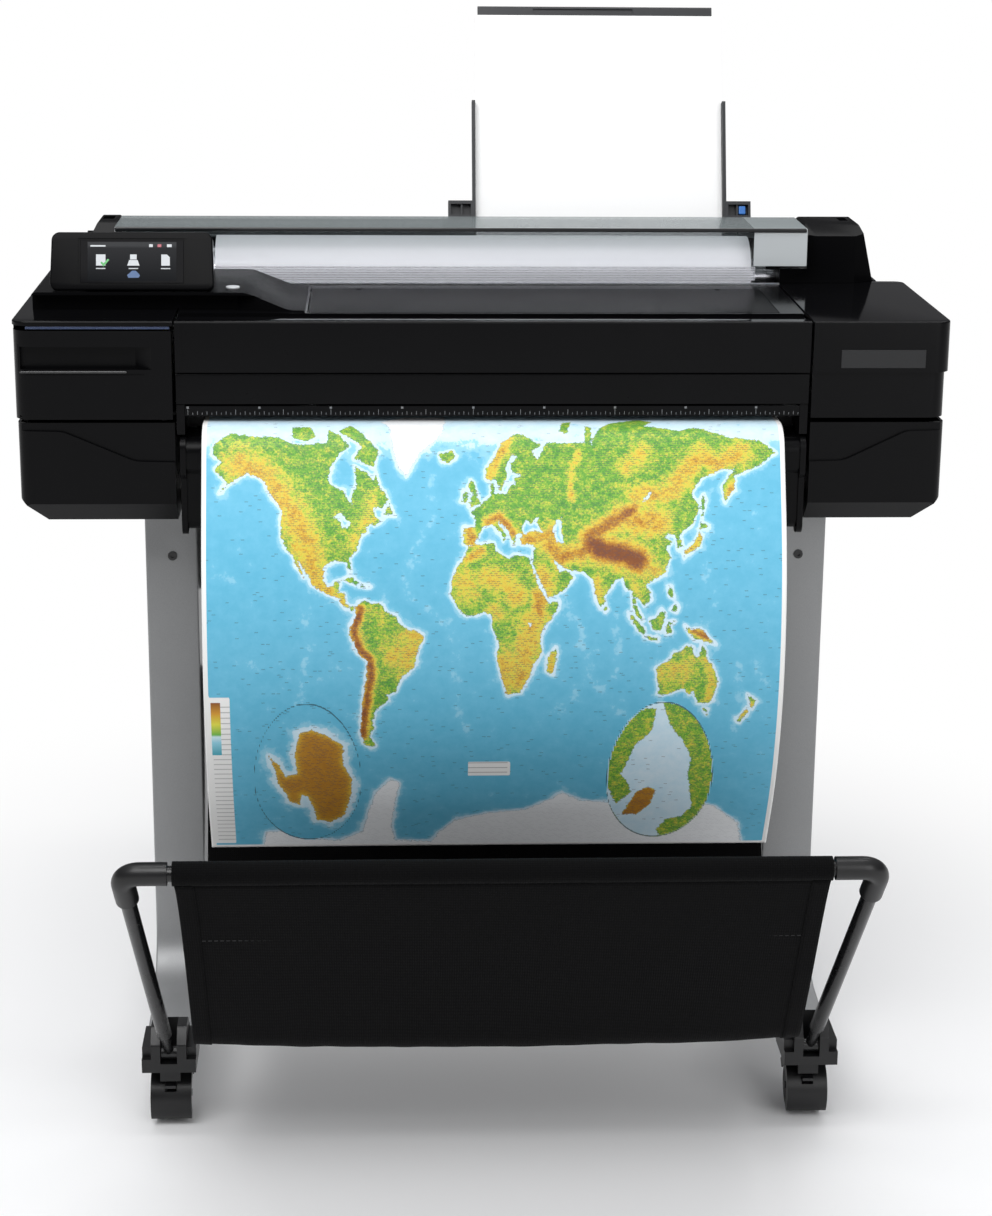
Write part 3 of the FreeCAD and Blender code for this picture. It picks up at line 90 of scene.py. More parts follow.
# ---- camera, light and floor ----
CAMERA_PLACE = Vector((-0.11384, -2.80657, 1.33366))
CAMERA_YAW, CAMERA_DOWN, CAMERA_ROLL = (math.radians(a) for a in (-2.70, 16.01, -0.51))
CAMERA_LENS = 77.39
SENSOR = 36.0


def turn(axis, angle):
    return Matrix.Rotation(angle, 3, axis)


def make_camera():
    data = bpy.data.cameras.new("camera")
    data.sensor_fit = "VERTICAL"
    data.sensor_height = SENSOR
    data.lens = CAMERA_LENS
    data.clip_end = 60
    camera = bpy.data.objects.new("camera", data)
    to_view = turn("Y", -CAMERA_ROLL) @ turn("X", CAMERA_DOWN) @ turn("Z", -CAMERA_YAW)
    right, ahead, up = to_view[0], to_view[1], to_view[2]
    basis = Matrix((right, up, -ahead)).transposed()
    camera.matrix_world = Matrix.Translation(CAMERA_PLACE) @ basis.to_4x4()
    bpy.context.scene.collection.objects.link(camera)
    bpy.context.scene.camera = camera


def area_light(name, place, aim, size, power):
    data = bpy.data.lights.new(name, "AREA")
    data.shape = "RECTANGLE"
    data.size, data.size_y = size
    data.energy = power
    lamp = bpy.data.objects.new(name, data)
    direction = Vector(aim) - Vector(place)
    lamp.matrix_world = Matrix.Translation(place) @ direction.to_track_quat("-Z", "Y").to_matrix().to_4x4()
    bpy.context.scene.collection.objects.link(lamp)


def make_world():
    """White behind the object, and a softer grey studio in what the gloss reflects."""
    world = bpy.data.worlds.new("studio")
    bpy.context.scene.world = world
    world.use_nodes = True
    nodes, links = world.node_tree.nodes, world.node_tree.links
    nodes.clear()
    coord = nodes.new("ShaderNodeTexCoord")
    split = nodes.new("ShaderNodeSeparateXYZ")
    links.new(coord.outputs["Generated"], split.inputs[0])
    ramp = nodes.new("ShaderNodeValToRGB")
    ramp.color_ramp.elements[0].position = 0.0
    ramp.color_ramp.elements[0].color = (0.30, 0.30, 0.31, 1)
    ramp.color_ramp.elements[1].position = 0.9
    ramp.color_ramp.elements[1].color = (0.85, 0.86, 0.88, 1)
    low = ramp.color_ramp.elements.new(0.22)
    low.color = (0.10, 0.10, 0.105, 1)
    links.new(split.outputs["Z"], ramp.inputs[0])
    studio = nodes.new("ShaderNodeBackground")
    studio.inputs["Strength"].default_value = 0.75
    links.new(ramp.outputs[0], studio.inputs["Color"])
    white = nodes.new("ShaderNodeBackground")
    white.inputs["Color"].default_value = (1, 1, 1, 1)
    white.inputs["Strength"].default_value = 1.0
    path = nodes.new("ShaderNodeLightPath")
    mix = nodes.new("ShaderNodeMixShader")
    links.new(path.outputs["Is Camera Ray"], mix.inputs[0])
    links.new(studio.outputs[0], mix.inputs[1])
    links.new(white.outputs[0], mix.inputs[2])
    out = nodes.new("ShaderNodeOutputWorld")
    links.new(mix.outputs[0], out.inputs["Surface"])


# ---- material helpers ----
class Nodes:
    """Short names for building one node material."""

    def __init__(self, name):
        self.mat = bpy.data.materials.new(name)
        self.mat.use_nodes = True
        self.tree = self.mat.node_tree
        self.shader = self.tree.nodes["Principled BSDF"]
        self.coord = self.add("ShaderNodeTexCoord")

    def add(self, kind, **inputs):
        node = self.tree.nodes.new(kind)
        for key, value in inputs.items():
            node.inputs[key.replace("_", " ")].default_value = value
        return node

    def link(self, source, target):
        self.tree.links.new(source, target)

    def where(self, **moved):
        """Object coordinates, scaled or moved."""
        place = self.add("ShaderNodeMapping", **moved)
        self.link(self.coord.outputs["Object"], place.inputs["Vector"])
        return place.outputs[0]

    def part(self, vector, axis):
        """One axis of a vector."""
        node = self.add("ShaderNodeSeparateXYZ")
        self.link(vector, node.inputs[0])
        return node.outputs[axis]

    def facing(self, axis):
        """How far the surface faces along one axis."""
        return self.part(self.add("ShaderNodeNewGeometry").outputs["Normal"], axis)

    def span(self, value, low, high):
        """0 at low to 1 at high."""
        node = self.add("ShaderNodeMapRange", From_Min=low, From_Max=high)
        self.link(value, node.inputs["Value"])
        return node.outputs["Result"]

    def noise(self, scale, detail=3.0, rough=0.5, vector=None):
        node = self.add("ShaderNodeTexNoise", Scale=scale, Detail=detail, Roughness=rough)
        self.link(vector or self.coord.outputs["Object"], node.inputs["Vector"])
        return node.outputs["Fac"]

    def ramp(self, value, stops):
        """stops are (place, colour or grey)."""
        node = self.add("ShaderNodeValToRGB")
        items = node.color_ramp.elements
        for i, (place, colour) in enumerate(stops):
            item = items[i] if i < 2 else items.new(place)
            item.position = place
            if isinstance(colour, (int, float)):
                colour = (colour, colour, colour)
            item.color = (*colour, 1)
        self.link(value, node.inputs[0])
        return node.outputs[0]

    def math(self, kind, first, second=None):
        node = self.tree.nodes.new("ShaderNodeMath")
        node.operation = kind
        for i, value in enumerate((first, second)):
            if value is None:
                continue
            if isinstance(value, (int, float)):
                node.inputs[i].default_value = value
            else:
                self.link(value, node.inputs[i])
        return node.outputs[0]

    def times(self, first, *rest):
        for value in rest:
            first = self.math("MULTIPLY", first, value)
        return first

    def plus(self, first, second):
        return self.math("ADD", first, second)

    def minus(self, first, second):
        return self.math("SUBTRACT", first, second)

    def above(self, value, limit):
        return self.math("GREATER_THAN", value, limit)

    def below(self, value, limit):
        return self.math("LESS_THAN", value, limit)

    def near(self, value, middle, reach):
        return self.below(self.math("ABSOLUTE", self.minus(value, middle)), reach)

    def mix_shaders(self, amount, first, second):
        node = self.add("ShaderNodeMixShader")
        if isinstance(amount, float):
            node.inputs[0].default_value = amount
        else:
            self.link(amount, node.inputs[0])
        self.link(first.outputs[0], node.inputs[1])
        self.link(second.outputs[0], node.inputs[2])
        return node

    def show(self, shader):
        self.link(shader.outputs[0], self.tree.nodes["Material Output"].inputs["Surface"])
        return self.mat

    def mix(self, factor, first, second, kind="MIX"):
        node = self.tree.nodes.new("ShaderNodeMix")
        node.data_type = "RGBA"
        node.blend_type = kind
        for key, value in (("Factor", factor), ("A", first), ("B", second)):
            socket = [s for s in node.inputs if s.name == key and s.enabled][0]
            if hasattr(value, "is_linked"):
                self.link(value, socket)
            elif isinstance(value, (int, float)):
                socket.default_value = value
            else:
                socket.default_value = (*value, 1)
        return [s for s in node.outputs if s.enabled][0]

    def bump(self, height, distance, strength=1.0, onto=None):
        node = self.add("ShaderNodeBump", Distance=distance, Strength=strength)
        self.link(height, node.inputs["Height"])
        if onto is not None:
            self.link(onto, node.inputs["Normal"])
        return node.outputs["Normal"]

    def finish(self, colour=None, rough=None, normal=None, **fixed):
        for key, value in fixed.items():
            self.shader.inputs[key.replace("_", " ")].default_value = value
        if colour is not None:
            self.link(colour, self.shader.inputs["Base Color"])
        if rough is not None:
            self.link(rough, self.shader.inputs["Roughness"])
        if normal is not None:
            self.link(normal, self.shader.inputs["Normal"])
        return self.mat


def make_floor():
    """Pale floor that fades into the white backdrop away from the object."""
    reach = 9.0
    corners = [(-reach, -reach, 0), (reach, -reach, 0), (reach, reach, 0), (-reach, reach, 0)]
    mesh = bpy.data.meshes.new("floor")
    mesh.from_pydata(corners, [], [(0, 1, 2, 3)])
    floor = bpy.data.objects.new("floor", mesh)
    bpy.context.scene.collection.objects.link(floor)
    n = Nodes("floor")
    n.finish(Base_Color=(0.93, 0.93, 0.935, 1), Roughness=0.6, Specular_IOR_Level=0.2)
    glow = n.add("ShaderNodeEmission", Color=(1, 1, 1, 1))
    away = n.add("ShaderNodeVectorMath")
    away.operation = "LENGTH"
    n.link(n.where(Scale=(1 / 1.35, 1 / 1.5, 1)), away.inputs[0])
    fade = n.span(away.outputs["Value"], 0.30, 0.92)
    fade.node.interpolation_type = "SMOOTHSTEP"
    mesh.materials.append(n.show(n.mix_shaders(fade, n.shader, glow)))


def shade(colour, amount):
    return tuple(min(1, channel * amount) for channel in colour)


def moulded(name, colour, rough, grain=1400, coat=0.0, level=0.5):
    """Moulded plastic: fine sparked grain, faint colour drift and a little uneven gloss."""
    n = Nodes(name)
    drift = n.noise(9, 4)
    tint = n.mix(drift, shade(colour, 0.86), shade(colour, 1.16))
    gloss = n.ramp(n.noise(26, 5, 0.6), [(0.3, rough * 0.88), (0.7, min(1, rough * 1.12))])
    normal = n.bump(n.noise(grain, 2), 0.00002)
    return n.finish(tint, gloss, normal, Coat_Weight=coat, Coat_Roughness=0.06, Specular_IOR_Level=level)


def glossy(name, colour, rough=0.09, level=0.4):
    """Piano gloss with faint handling haze."""
    n = Nodes(name)
    haze = n.noise(14, 6, 0.65)
    tint = n.mix(haze, shade(colour, 0.95), shade(colour, 1.08))
    gloss = n.ramp(haze, [(0.35, rough * 0.95), (0.75, rough * 1.12)])
    normal = n.bump(n.noise(30, 2), 0.000006)
    return n.finish(tint, gloss, normal, Specular_IOR_Level=level)


def body_black():
    """Black body plastic: satin on the sides, piano gloss on the faces that look up."""
    n = Nodes("body_black")
    up = n.above(n.facing("Z"), 0.98)
    drift = n.noise(7, 4)
    tint = n.mix(drift, (0.0022, 0.0022, 0.0026), (0.0034, 0.0034, 0.0039))
    side = n.ramp(n.noise(22, 5, 0.6), [(0.3, 0.27), (0.7, 0.34)])
    gloss = n.mix(up, side, (0.085, 0.085, 0.085))
    normal = n.bump(n.noise(1600, 2), 0.000006)
    return n.finish(tint, gloss, normal, Specular_IOR_Level=0.10)


def painted(name, colour, rough):
    """Powder coat: orange peel bump and tiny flakes."""
    n = Nodes(name)
    flakes = n.noise(2600, 1)
    tint = n.mix(n.ramp(flakes, [(0.35, 0.0), (0.7, 1.0)]), shade(colour, 0.9), shade(colour, 1.12))
    drift = n.mix(n.noise(5, 3), shade((1, 1, 1), 0.94), (1, 1, 1))
    tint = n.mix(1.0, tint, drift, "MULTIPLY")
    gloss = n.ramp(n.noise(40, 4), [(0.3, rough * 0.9), (0.7, rough * 1.12)])
    normal = n.bump(n.noise(900, 2), 0.00003)
    return n.finish(tint, gloss, normal, Metallic=0.35)


def metal(name, colour, rough, along=(1, 40, 40)):
    """Drawn or ground metal with fine lines along one axis."""
    n = Nodes(name)
    lines = n.noise(60, 4, 0.7, n.where(Scale=along))
    tint = n.mix(lines, shade(colour, 0.85), shade(colour, 1.1))
    gloss = n.ramp(lines, [(0.3, rough * 0.8), (0.7, rough * 1.3)])
    return n.finish(tint, gloss, n.bump(lines, 0.00002), Metallic=1.0)


def rubber(name, colour):
    n = Nodes(name)
    tint = n.mix(n.noise(60, 5), shade(colour, 0.8), shade(colour, 1.3))
    gloss = n.ramp(n.noise(300, 3), [(0.3, 0.55), (0.7, 0.75)])
    return n.finish(tint, gloss, n.bump(n.noise(1200, 2), 0.00003))


def paper(name, colour):
    """Plain paper: faint fibres, matt, with a little light through it."""
    n = Nodes(name)
    fibres = n.noise(500, 5, 0.7, n.where(Scale=(1, 1, 0.35)))
    tint = n.mix(fibres, shade(colour, 0.975), colour)
    return n.finish(tint, n.ramp(fibres, [(0.3, 0.62), (0.7, 0.78)]), n.bump(fibres, 0.00001),
                    Specular_IOR_Level=0.25)


def roll_paper():
    """The wound roll: white outside, with fine rings on its ends."""
    n = Nodes("roll_paper")
    rings = n.add("ShaderNodeTexWave", Scale=620, Distortion=1.5, Detail=2)
    rings.wave_type = "RINGS"
    rings.rings_direction = "X"
    middle = (ROLL_LOW + ROLL_HIGH) / 2
    n.link(n.where(Location=(0, -middle.y, -middle.z)), rings.inputs["Vector"])
    tint = n.mix(rings.outputs["Fac"], (0.93, 0.93, 0.92), (0.86, 0.86, 0.85))
    ends = n.above(n.math("ABSOLUTE", n.facing("X")), 0.7)
    tint = n.mix(ends, (0.97, 0.97, 0.975), tint)
    return n.finish(tint, n.ramp(n.noise(200, 3), [(0.3, 0.5), (0.7, 0.65)]), Specular_IOR_Level=0.3)


def smoked():
    """See-through cover: clear front, grey-green roof, and a painted softbox reflection in light grey on the
    upper end beside the roll.
    """
    n = Nodes("clear_smoke")
    place = n.coord.outputs["Object"]
    roof = n.span(n.part(place, "Y"), COVER_LOW.y + 4 * MM, COVER_LOW.y + 8 * MM)
    clear = n.add("ShaderNodeBsdfTransparent")
    haze = n.noise(3.0, 4, 0.6, n.where(Scale=(1, 4, 4)))
    front = n.mix(haze, (0.965, 0.97, 0.985), (0.99, 0.99, 1.0))
    n.link(n.mix(roof, front, (0.86, 0.885, 0.89)), clear.inputs["Color"])
    # Diffuse colour: the roof's own grey-green tint, and light grey for the painted reflection on the end.
    reflection_and_roof_tint = n.add("ShaderNodeBsdfDiffuse")
    n.link(n.mix(roof, (0.66, 0.70, 0.72), (0.30, 0.335, 0.34)), reflection_and_roof_tint.inputs["Color"])
    # Painted reflection: the end beside the roll, above 890 mm, is coloured light grey where a softbox
    # reflects.
    end = n.above(n.part(place, "X"), ROLL_HIGH.x + 1 * MM)
    low = n.below(n.part(place, "Z"), 890 * MM)
    painted_reflection = n.times(end, n.minus(1.0, low))
    amount = n.math("MAXIMUM", n.times(painted_reflection, 0.72), n.times(roof, 0.38))
    fresnel = n.add("ShaderNodeFresnel", IOR=1.35)
    strength = n.plus(n.times(fresnel.outputs[0], 0.5), 0.01)
    shine = n.add("ShaderNodeBsdfGlossy", Roughness=0.07)
    return n.show(n.mix_shaders(strength, n.mix_shaders(amount, clear, reflection_and_roof_tint), shine))


def woven(name, colour, pitch=0.0016):
    """Plain weave seen close: warp and weft bumps over the sheet's own length and width."""
    n = Nodes(name)
    waves = []
    for axis in ("X", "Y"):
        wave = n.add("ShaderNodeTexWave", Scale=0.031416 / pitch, Distortion=0.6, Detail=1)
        wave.bands_direction = axis
        wave.inputs["Detail Scale"].default_value = 3
        n.link(n.coord.outputs["UV"], wave.inputs["Vector"])
        waves.append(wave.outputs["Fac"])
    cross = n.math("MULTIPLY", waves[0], waves[1])
    yarn = n.noise(700, 3, 0.6)
    tint = n.mix(cross, shade(colour, 0.26), shade(colour, 0.8))
    tint = n.mix(n.ramp(yarn, [(0.4, 0.0), (0.75, 0.5)]), tint, shade(colour, 1.0))
    drift = n.mix(n.noise(6, 4), (0.82, 0.82, 0.82), (1, 1, 1))
    tint = n.mix(1.0, tint, drift, "MULTIPLY")
    normal = n.bump(cross, 0.0004, 0.8, n.bump(n.noise(30, 4), 0.0008, 0.5))
    return n.finish(tint, None, normal, Roughness=0.92, Sheen_Weight=0.02, Sheen_Roughness=0.5,
                    Specular_IOR_Level=0.08)


def glowing(name, colour, strength):
    """A lit patch of the display: even, with a very slight grain."""
    n = Nodes(name)
    grain = n.mix(n.noise(3000, 1), shade(colour, 0.9), colour)
    n.finish(grain, Roughness=0.25, Emission_Strength=strength)
    n.link(grain, n.shader.inputs["Emission Color"])
    return n.mat


# ---- mesh helpers ----
def new_piece(name, mesh_or_bm, mat, body, smooth=False):
    mesh = mesh_or_bm
    if isinstance(mesh_or_bm, bmesh.types.BMesh):
        mesh = bpy.data.meshes.new(name)
        mesh_or_bm.to_mesh(mesh)
        mesh_or_bm.free()
    obj = bpy.data.objects.new(name, mesh)
    bpy.context.scene.collection.objects.link(obj)
    for item in (mat if isinstance(mat, (list, tuple)) else [mat]):
        mesh.materials.append(item)
    if smooth:
        for face in mesh.polygons:
            face.use_smooth = True
    if body:
        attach(obj, body)
    return obj


def block(bm, low, high, place=None):
    """Adds a box between two corners, optionally moved by a matrix."""
    spots = [(x, y, z) for x in (low[0], high[0]) for y in (low[1], high[1]) for z in (low[2], high[2])]
    verts = [bm.verts.new(place @ Vector(s) if place else s) for s in spots]
    for a, b, c, d in ((0, 1, 3, 2), (4, 6, 7, 5), (0, 4, 5, 1), (2, 3, 7, 6), (0, 2, 6, 4), (1, 5, 7, 3)):
        bm.faces.new((verts[a], verts[b], verts[c], verts[d]))


def soften(obj, width):
    bevel = obj.modifiers.new("soft_edges", "BEVEL")
    bevel.width = width
    bevel.segments = 2
    bevel.limit_method = "ANGLE"
    return obj


def bar(name, low, high, mat, body, edge=0.0004, place=None):
    bm = bmesh.new()
    block(bm, low, high, place)
    return soften(new_piece(name, bm, mat, body), edge)


def rounded_path(corners, step=0.004):
    """Points along (a, b, radius) corners with the corners rounded, about one step apart."""
    spots = [Vector((c[0], c[1])) for c in corners]
    points = [spots[0]]
    for i in range(1, len(corners) - 1):
        radius = corners[i][2]
        back = (spots[i - 1] - spots[i]).normalized()
        ahead = (spots[i + 1] - spots[i]).normalized()
        half = back.angle(ahead) / 2
        reach = radius / math.tan(half)
        centre = spots[i] + (back + ahead).normalized() * (radius / math.sin(half))
        start, end = spots[i] + back * reach - centre, spots[i] + ahead * reach - centre
        swing = start.angle_signed(end)
        count = max(3, int(abs(swing) * radius / step))
        for k in range(count + 1):
            points.append(centre + Matrix.Rotation(-swing * k / count, 2) @ start)
    points.append(spots[-1])
    fine = [points[0]]
    for point in points[1:]:
        gap = (point - fine[-1]).length
        pieces = max(1, int(gap / step))
        last = fine[-1]
        for k in range(1, pieces + 1):
            fine.append(last.lerp(point, k / pieces))
    return [p for i, p in enumerate(fine) if i == 0 or (p - fine[i - 1]).length > 1e-6]


def grid_mesh(name, columns, path, place):
    """Quads over columns by path points; UV is in tens of centimetres along both."""
    lengths = np.concatenate([[0], np.cumsum([(b - a).length for a, b in zip(path, path[1:])])])
    verts = [place(x, point, k / (len(path) - 1)) for k, point in enumerate(path) for x in columns]
    wide = len(columns)
    faces = []
    for k in range(len(path) - 1):
        for i in range(wide - 1):
            a = k * wide + i
            faces.append((a, a + wide, a + 1 + wide, a + 1))
    mesh = bpy.data.meshes.new(name)
    mesh.from_pydata(verts, [], faces)
    layer = mesh.uv_layers.new(name="UVMap")
    for loop in mesh.loops:
        row, column = divmod(loop.vertex_index, wide)
        layer.data[loop.index].uv = ((columns[column] - columns[0]) * 10, lengths[row] * 10)
    return mesh, lengths


# ---- printed map ----
# The map is drawn in millimetres on the sheet: x from the left edge, up from the lower edge.
SHEET_WIDTH = (PAPER_HIGH.x - PAPER_LOW.x) / MM
EQUATOR_UP = 292.0
MAP_WEST = -174.0
MM_PER_DEGREE = 1.649
MARGIN = 5.0

LANDS = {
    "north_america": [
        (-166, 68), (-156, 71), (-141, 70), (-128, 70), (-115, 68), (-108, 68), (-95, 68.5), (-94, 72),
        (-86, 70),
        (-81, 67.5), (-87, 66), (-93, 62), (-94.5, 59), (-92, 57), (-85, 55.5), (-82, 52.5), (-79.5, 51.2),
        (-79, 54.5), (-76.5, 57), (-77.5, 62.5), (-69.5, 60.5), (-66, 58.5), (-64, 60), (-61, 56),
        (-56.5, 53),
        (-60, 50), (-66, 50), (-64.5, 46.5), (-61, 45.5), (-65.5, 43.6), (-67, 45), (-70.5, 43), (-70, 41.7),
        (-74, 40.5), (-76, 35), (-81.3, 31), (-80.1, 27), (-80.7, 25.2), (-82, 27), (-83, 29.5),
        (-89.5, 30.2),
        (-94.5, 29.5), (-97.3, 27.5), (-97.7, 23), (-96, 19), (-91.5, 18.7), (-90.4, 21), (-87, 21.5),
        (-88.5, 16),
        (-84, 15.8), (-83.3, 11), (-81.5, 8.8), (-79.5, 9.4), (-77.5, 8.4), (-80.3, 7.3), (-85.7, 10.2),
        (-87.6, 13), (-92, 14.5), (-96, 15.8), (-101, 17.4), (-105.5, 20), (-105.7, 22.6), (-109.3, 26),
        (-114.7, 31.8), (-110.3, 24.5), (-109.6, 23), (-114.5, 28), (-117.2, 33), (-120.5, 34.5),
        (-124.2, 40.4),
        (-124, 46), (-123, 49), (-130.5, 54.5), (-134.5, 58.3), (-139.5, 59.7), (-146, 60.6), (-151, 59.3),
        (-156, 57.8), (-163, 54.8), (-158, 58), (-165.5, 61.5), (-161.5, 64), (-167, 65.6),
    ],
    "south_america": [
        (-77.5, 8.4), (-75, 10.8), (-71.7, 12.2), (-68, 11), (-62, 10.6), (-57, 6), (-52, 4.8), (-50, 0.5),
        (-44.5, -2.7), (-40, -2.9), (-35.3, -5.4), (-34.9, -8), (-39, -14.5), (-39.5, -18), (-41, -22),
        (-48.5, -26), (-52.5, -33), (-58, -34.3), (-57, -36.5), (-62, -39), (-65, -41), (-67.3, -45.5),
        (-65.8, -47.8), (-69, -51), (-65.5, -54.8), (-68.5, -55.5), (-72.5, -53.7), (-75, -50),
        (-73.5, -41.5),
        (-73.5, -37), (-70.5, -25), (-70.2, -18.5), (-75, -15.3), (-77.5, -11.5), (-81.2, -5), (-80.7, -1),
        (-77.3, 4),
    ],
    "greenland": [
        (-45, 60), (-50, 62), (-53, 66.5), (-56, 73), (-61, 76), (-45, 80), (-20, 80), (-20, 75), (-22, 71),
        (-28, 68.5), (-37, 65.8), (-42, 62),
    ],
    "africa": [
        (-6, 35.8), (3, 36.8), (10.2, 37.3), (11, 34), (15.5, 32.3), (20, 30.5), (23, 32.7), (32.3, 31.3),
        (35.5, 24), (38.5, 18), (43, 12.5), (44, 10.5), (51.2, 11.8), (50.5, 8), (46.5, 3), (41.5, -2),
        (39.2, -6), (40.5, -15), (35.5, -20), (32.8, -26), (27.5, -33.2), (22, -34.2), (18.5, -34.3),
        (15, -26), (11.8, -16.5), (13.5, -11), (9, -1), (9.7, 3.8), (4, 6.3), (-2, 4.8), (-7.5, 4.4),
        (-11.5, 6.8), (-17.3, 14.7), (-16.3, 19), (-17, 21), (-13, 27.7), (-9.8, 30),
    ],
    "eurasia": [
        (-9, 37), (-8.9, 43), (-1.7, 43.4), (-1.2, 46), (-4.6, 48.4), (2, 51), (8.7, 53.9), (8.2, 57),
        (10.6, 57.6), (10.5, 54.6), (18.7, 54.6), (21.3, 57.3), (24.2, 57.2), (23.5, 59.3), (29.5, 59.9),
        (21.3, 61), (21.5, 63.2), (25.3, 65), (22, 65.8), (17.5, 62), (18.7, 59.8), (14.3, 55.5), (11.3, 59),
        (8, 58.1), (5.3, 59), (5.2, 61.8), (11, 64.7), (15, 68.3), (26, 71), (33.5, 69.4), (41, 67.7),
        (34.5, 66.5), (38, 64), (44, 68.4), (54, 68.4), (68, 68.3), (69, 73), (72.7, 72.8), (72.5, 68),
        (78, 72.3), (87, 75), (104, 77.6), (113, 75.8), (107, 73.3), (129, 71.5), (140, 72.6), (160, 69.7),
        (180, 68.9), (190, 66), (178.5, 62.4), (163.5, 59.8), (163, 56), (156.8, 51.2), (155.8, 56.8),
        (163.5, 61.5), (156, 61.6), (142.5, 59.2), (135.5, 54.6), (140.5, 50), (136, 44.2), (129.8, 41.5),
        (127.5, 39.6), (129.3, 36), (126.5, 34.5), (125, 39.7), (121, 40.8), (117.8, 39), (122.5, 37.2),
        (119.3, 35), (121.8, 31.2), (118, 24.4), (110.3, 21), (105.8, 19), (108.8, 15.5), (109.3, 12),
        (104.9, 8.7), (102.5, 12.2), (100.5, 13.4), (99.3, 10), (103.4, 4), (104.2, 1.4), (101.2, 2.9),
        (98.3, 8), (97.3, 16.8), (94, 17), (91.5, 22.5), (87, 21.5), (80.2, 14.5), (79.8, 10.3), (77.5, 8.1),
        (74.8, 13), (72.6, 21.5), (66.5, 25.2), (57, 26), (48, 30), (51.5, 25), (56.3, 26), (59.8, 22.5),
        (55, 17), (44.5, 12.7), (39, 21.3), (35, 28), (34.6, 31.5), (36, 36), (27.5, 36.8), (26.5, 39.5),
        (35, 42), (41, 41.3), (37, 45), (39, 47.2), (33.5, 44.6), (30.5, 46), (28, 43.5), (28.5, 41.3),
        (23.5, 40.3), (24, 37.8), (22.5, 36.5), (19.4, 41.5), (13.6, 45.5), (12.4, 44.3), (18.4, 40.2),
        (15.8, 38), (15.6, 40), (8.8, 44.4), (3.2, 43.2), (-0.3, 39.3), (-2.2, 36.7), (-5.6, 36.1),
    ],
    "australia": [
        (113.6, -22.5), (115.7, -31.8), (115, -34.2), (118.3, -34.9), (123.5, -33.9), (131.5, -31.5),
        (135.5, -34.7), (138, -32.8), (141, -38.2), (147, -38.6), (150, -37.4), (153.5, -28.5), (149, -20.5),
        (146, -18.9), (145.3, -15), (142.5, -10.8), (140.8, -17.5), (137, -15.9), (136.5, -12.2),
        (132.5, -11.5), (128.5, -14.9), (125, -15), (122.2, -18),
    ],
    "britain": [(-5.5, 50.1), (1.3, 51.3), (0.3, 53), (-2, 57.5), (-4, 58.6), (-6, 56.5), (-3, 54),
                (-4.3, 52)],
    "ireland": [(-10, 52), (-6.3, 52.2), (-6, 54.8), (-8.5, 55.2)],
    "iceland": [(-22.5, 64), (-18.5, 63.4), (-14, 65), (-16, 66.4), (-24, 65.6)],
    "madagascar": [(49.3, -12.2), (50.3, -15.8), (47.2, -25), (44, -24.5), (44.5, -16.4)],
    "sri_lanka": [(80, 9.5), (81.8, 7.5), (80.5, 6)],
    "sumatra": [(95.3, 5.5), (98.5, 3.8), (106, -3.2), (105.7, -5.8), (102, -4)],
    "java": [(105.5, -6.3), (114.3, -7.5), (114, -8.8), (108.5, -8)],
    "borneo": [(109, 1.8), (113, 3.2), (116.8, 7), (119, 5.2), (116, -3.8), (111.5, -3.3)],
    "sulawesi": [(119.3, -5.3), (120, 0.8), (125, 1.5), (121.3, -0.8), (123, -4.8)],
    "new_guinea": [(131, -0.8), (135, -3.3), (141, -2.6), (150.8, -10.4), (143, -9), (138, -8.3), (133, -4)],
    "luzon": [(120.3, 16), (121, 18.5), (122.2, 18.3), (124, 12.8), (120.8, 13.8)],
    "mindanao": [(122, 7), (125.5, 9.8), (126.4, 7.2), (125.4, 5.7)],
    "honshu": [(130.5, 31.5), (131, 34), (137.2, 37.3), (140.3, 41.2), (141.9, 39.5), (140.7, 35.7),
               (135, 33.6)],
    "hokkaido": [(140, 42.2), (141.8, 45.4), (145.3, 43.3)],
    "sakhalin": [(142, 46.2), (142, 53), (143.5, 54.2), (144, 50)],
    "north_island": [(172.8, -34.6), (178.4, -37.8), (176, -41.2), (174.5, -37.5)],
    "south_island": [(172.8, -40.6), (174.2, -41.8), (168.5, -46.6), (166.6, -45.9)],
    "tasmania": [(144.8, -40.8), (148.2, -40.9), (147, -43.5)],
    "cuba": [(-84.8, 22), (-80.5, 23.3), (-74.3, 20.4), (-77.6, 19.7)],
    "hispaniola": [(-74.3, 18.5), (-73, 19.9), (-68.6, 18.6)],
    "newfoundland": [(-59.2, 47.8), (-55.8, 51.4), (-53, 47.5)],
    "baffin": [(-80, 73.5), (-66, 68), (-62.5, 66.5), (-66, 62.2), (-78, 64.7), (-72.5, 67.5), (-88, 71.5)],
    "victoria": [(-117, 69.5), (-107, 68.8), (-102, 70), (-106, 73), (-117, 72.8)],
    "novaya_zemlya": [(52, 71.5), (57, 70.7), (61, 76), (55, 75)],
}
LAKES = [
    [(47, 42), (49.5, 45.5), (53, 46.5), (53, 41), (54, 37), (49.5, 37.5)],
    [(-92, 47), (-86, 48.6), (-84, 46.5), (-80, 45), (-82.5, 43.2), (-86, 43), (-87, 46.2)],
    [(31.8, 0.4), (34, 0.2), (33, -2.4)],
    [(104, 51.6), (110, 55.4), (109, 53)],
]
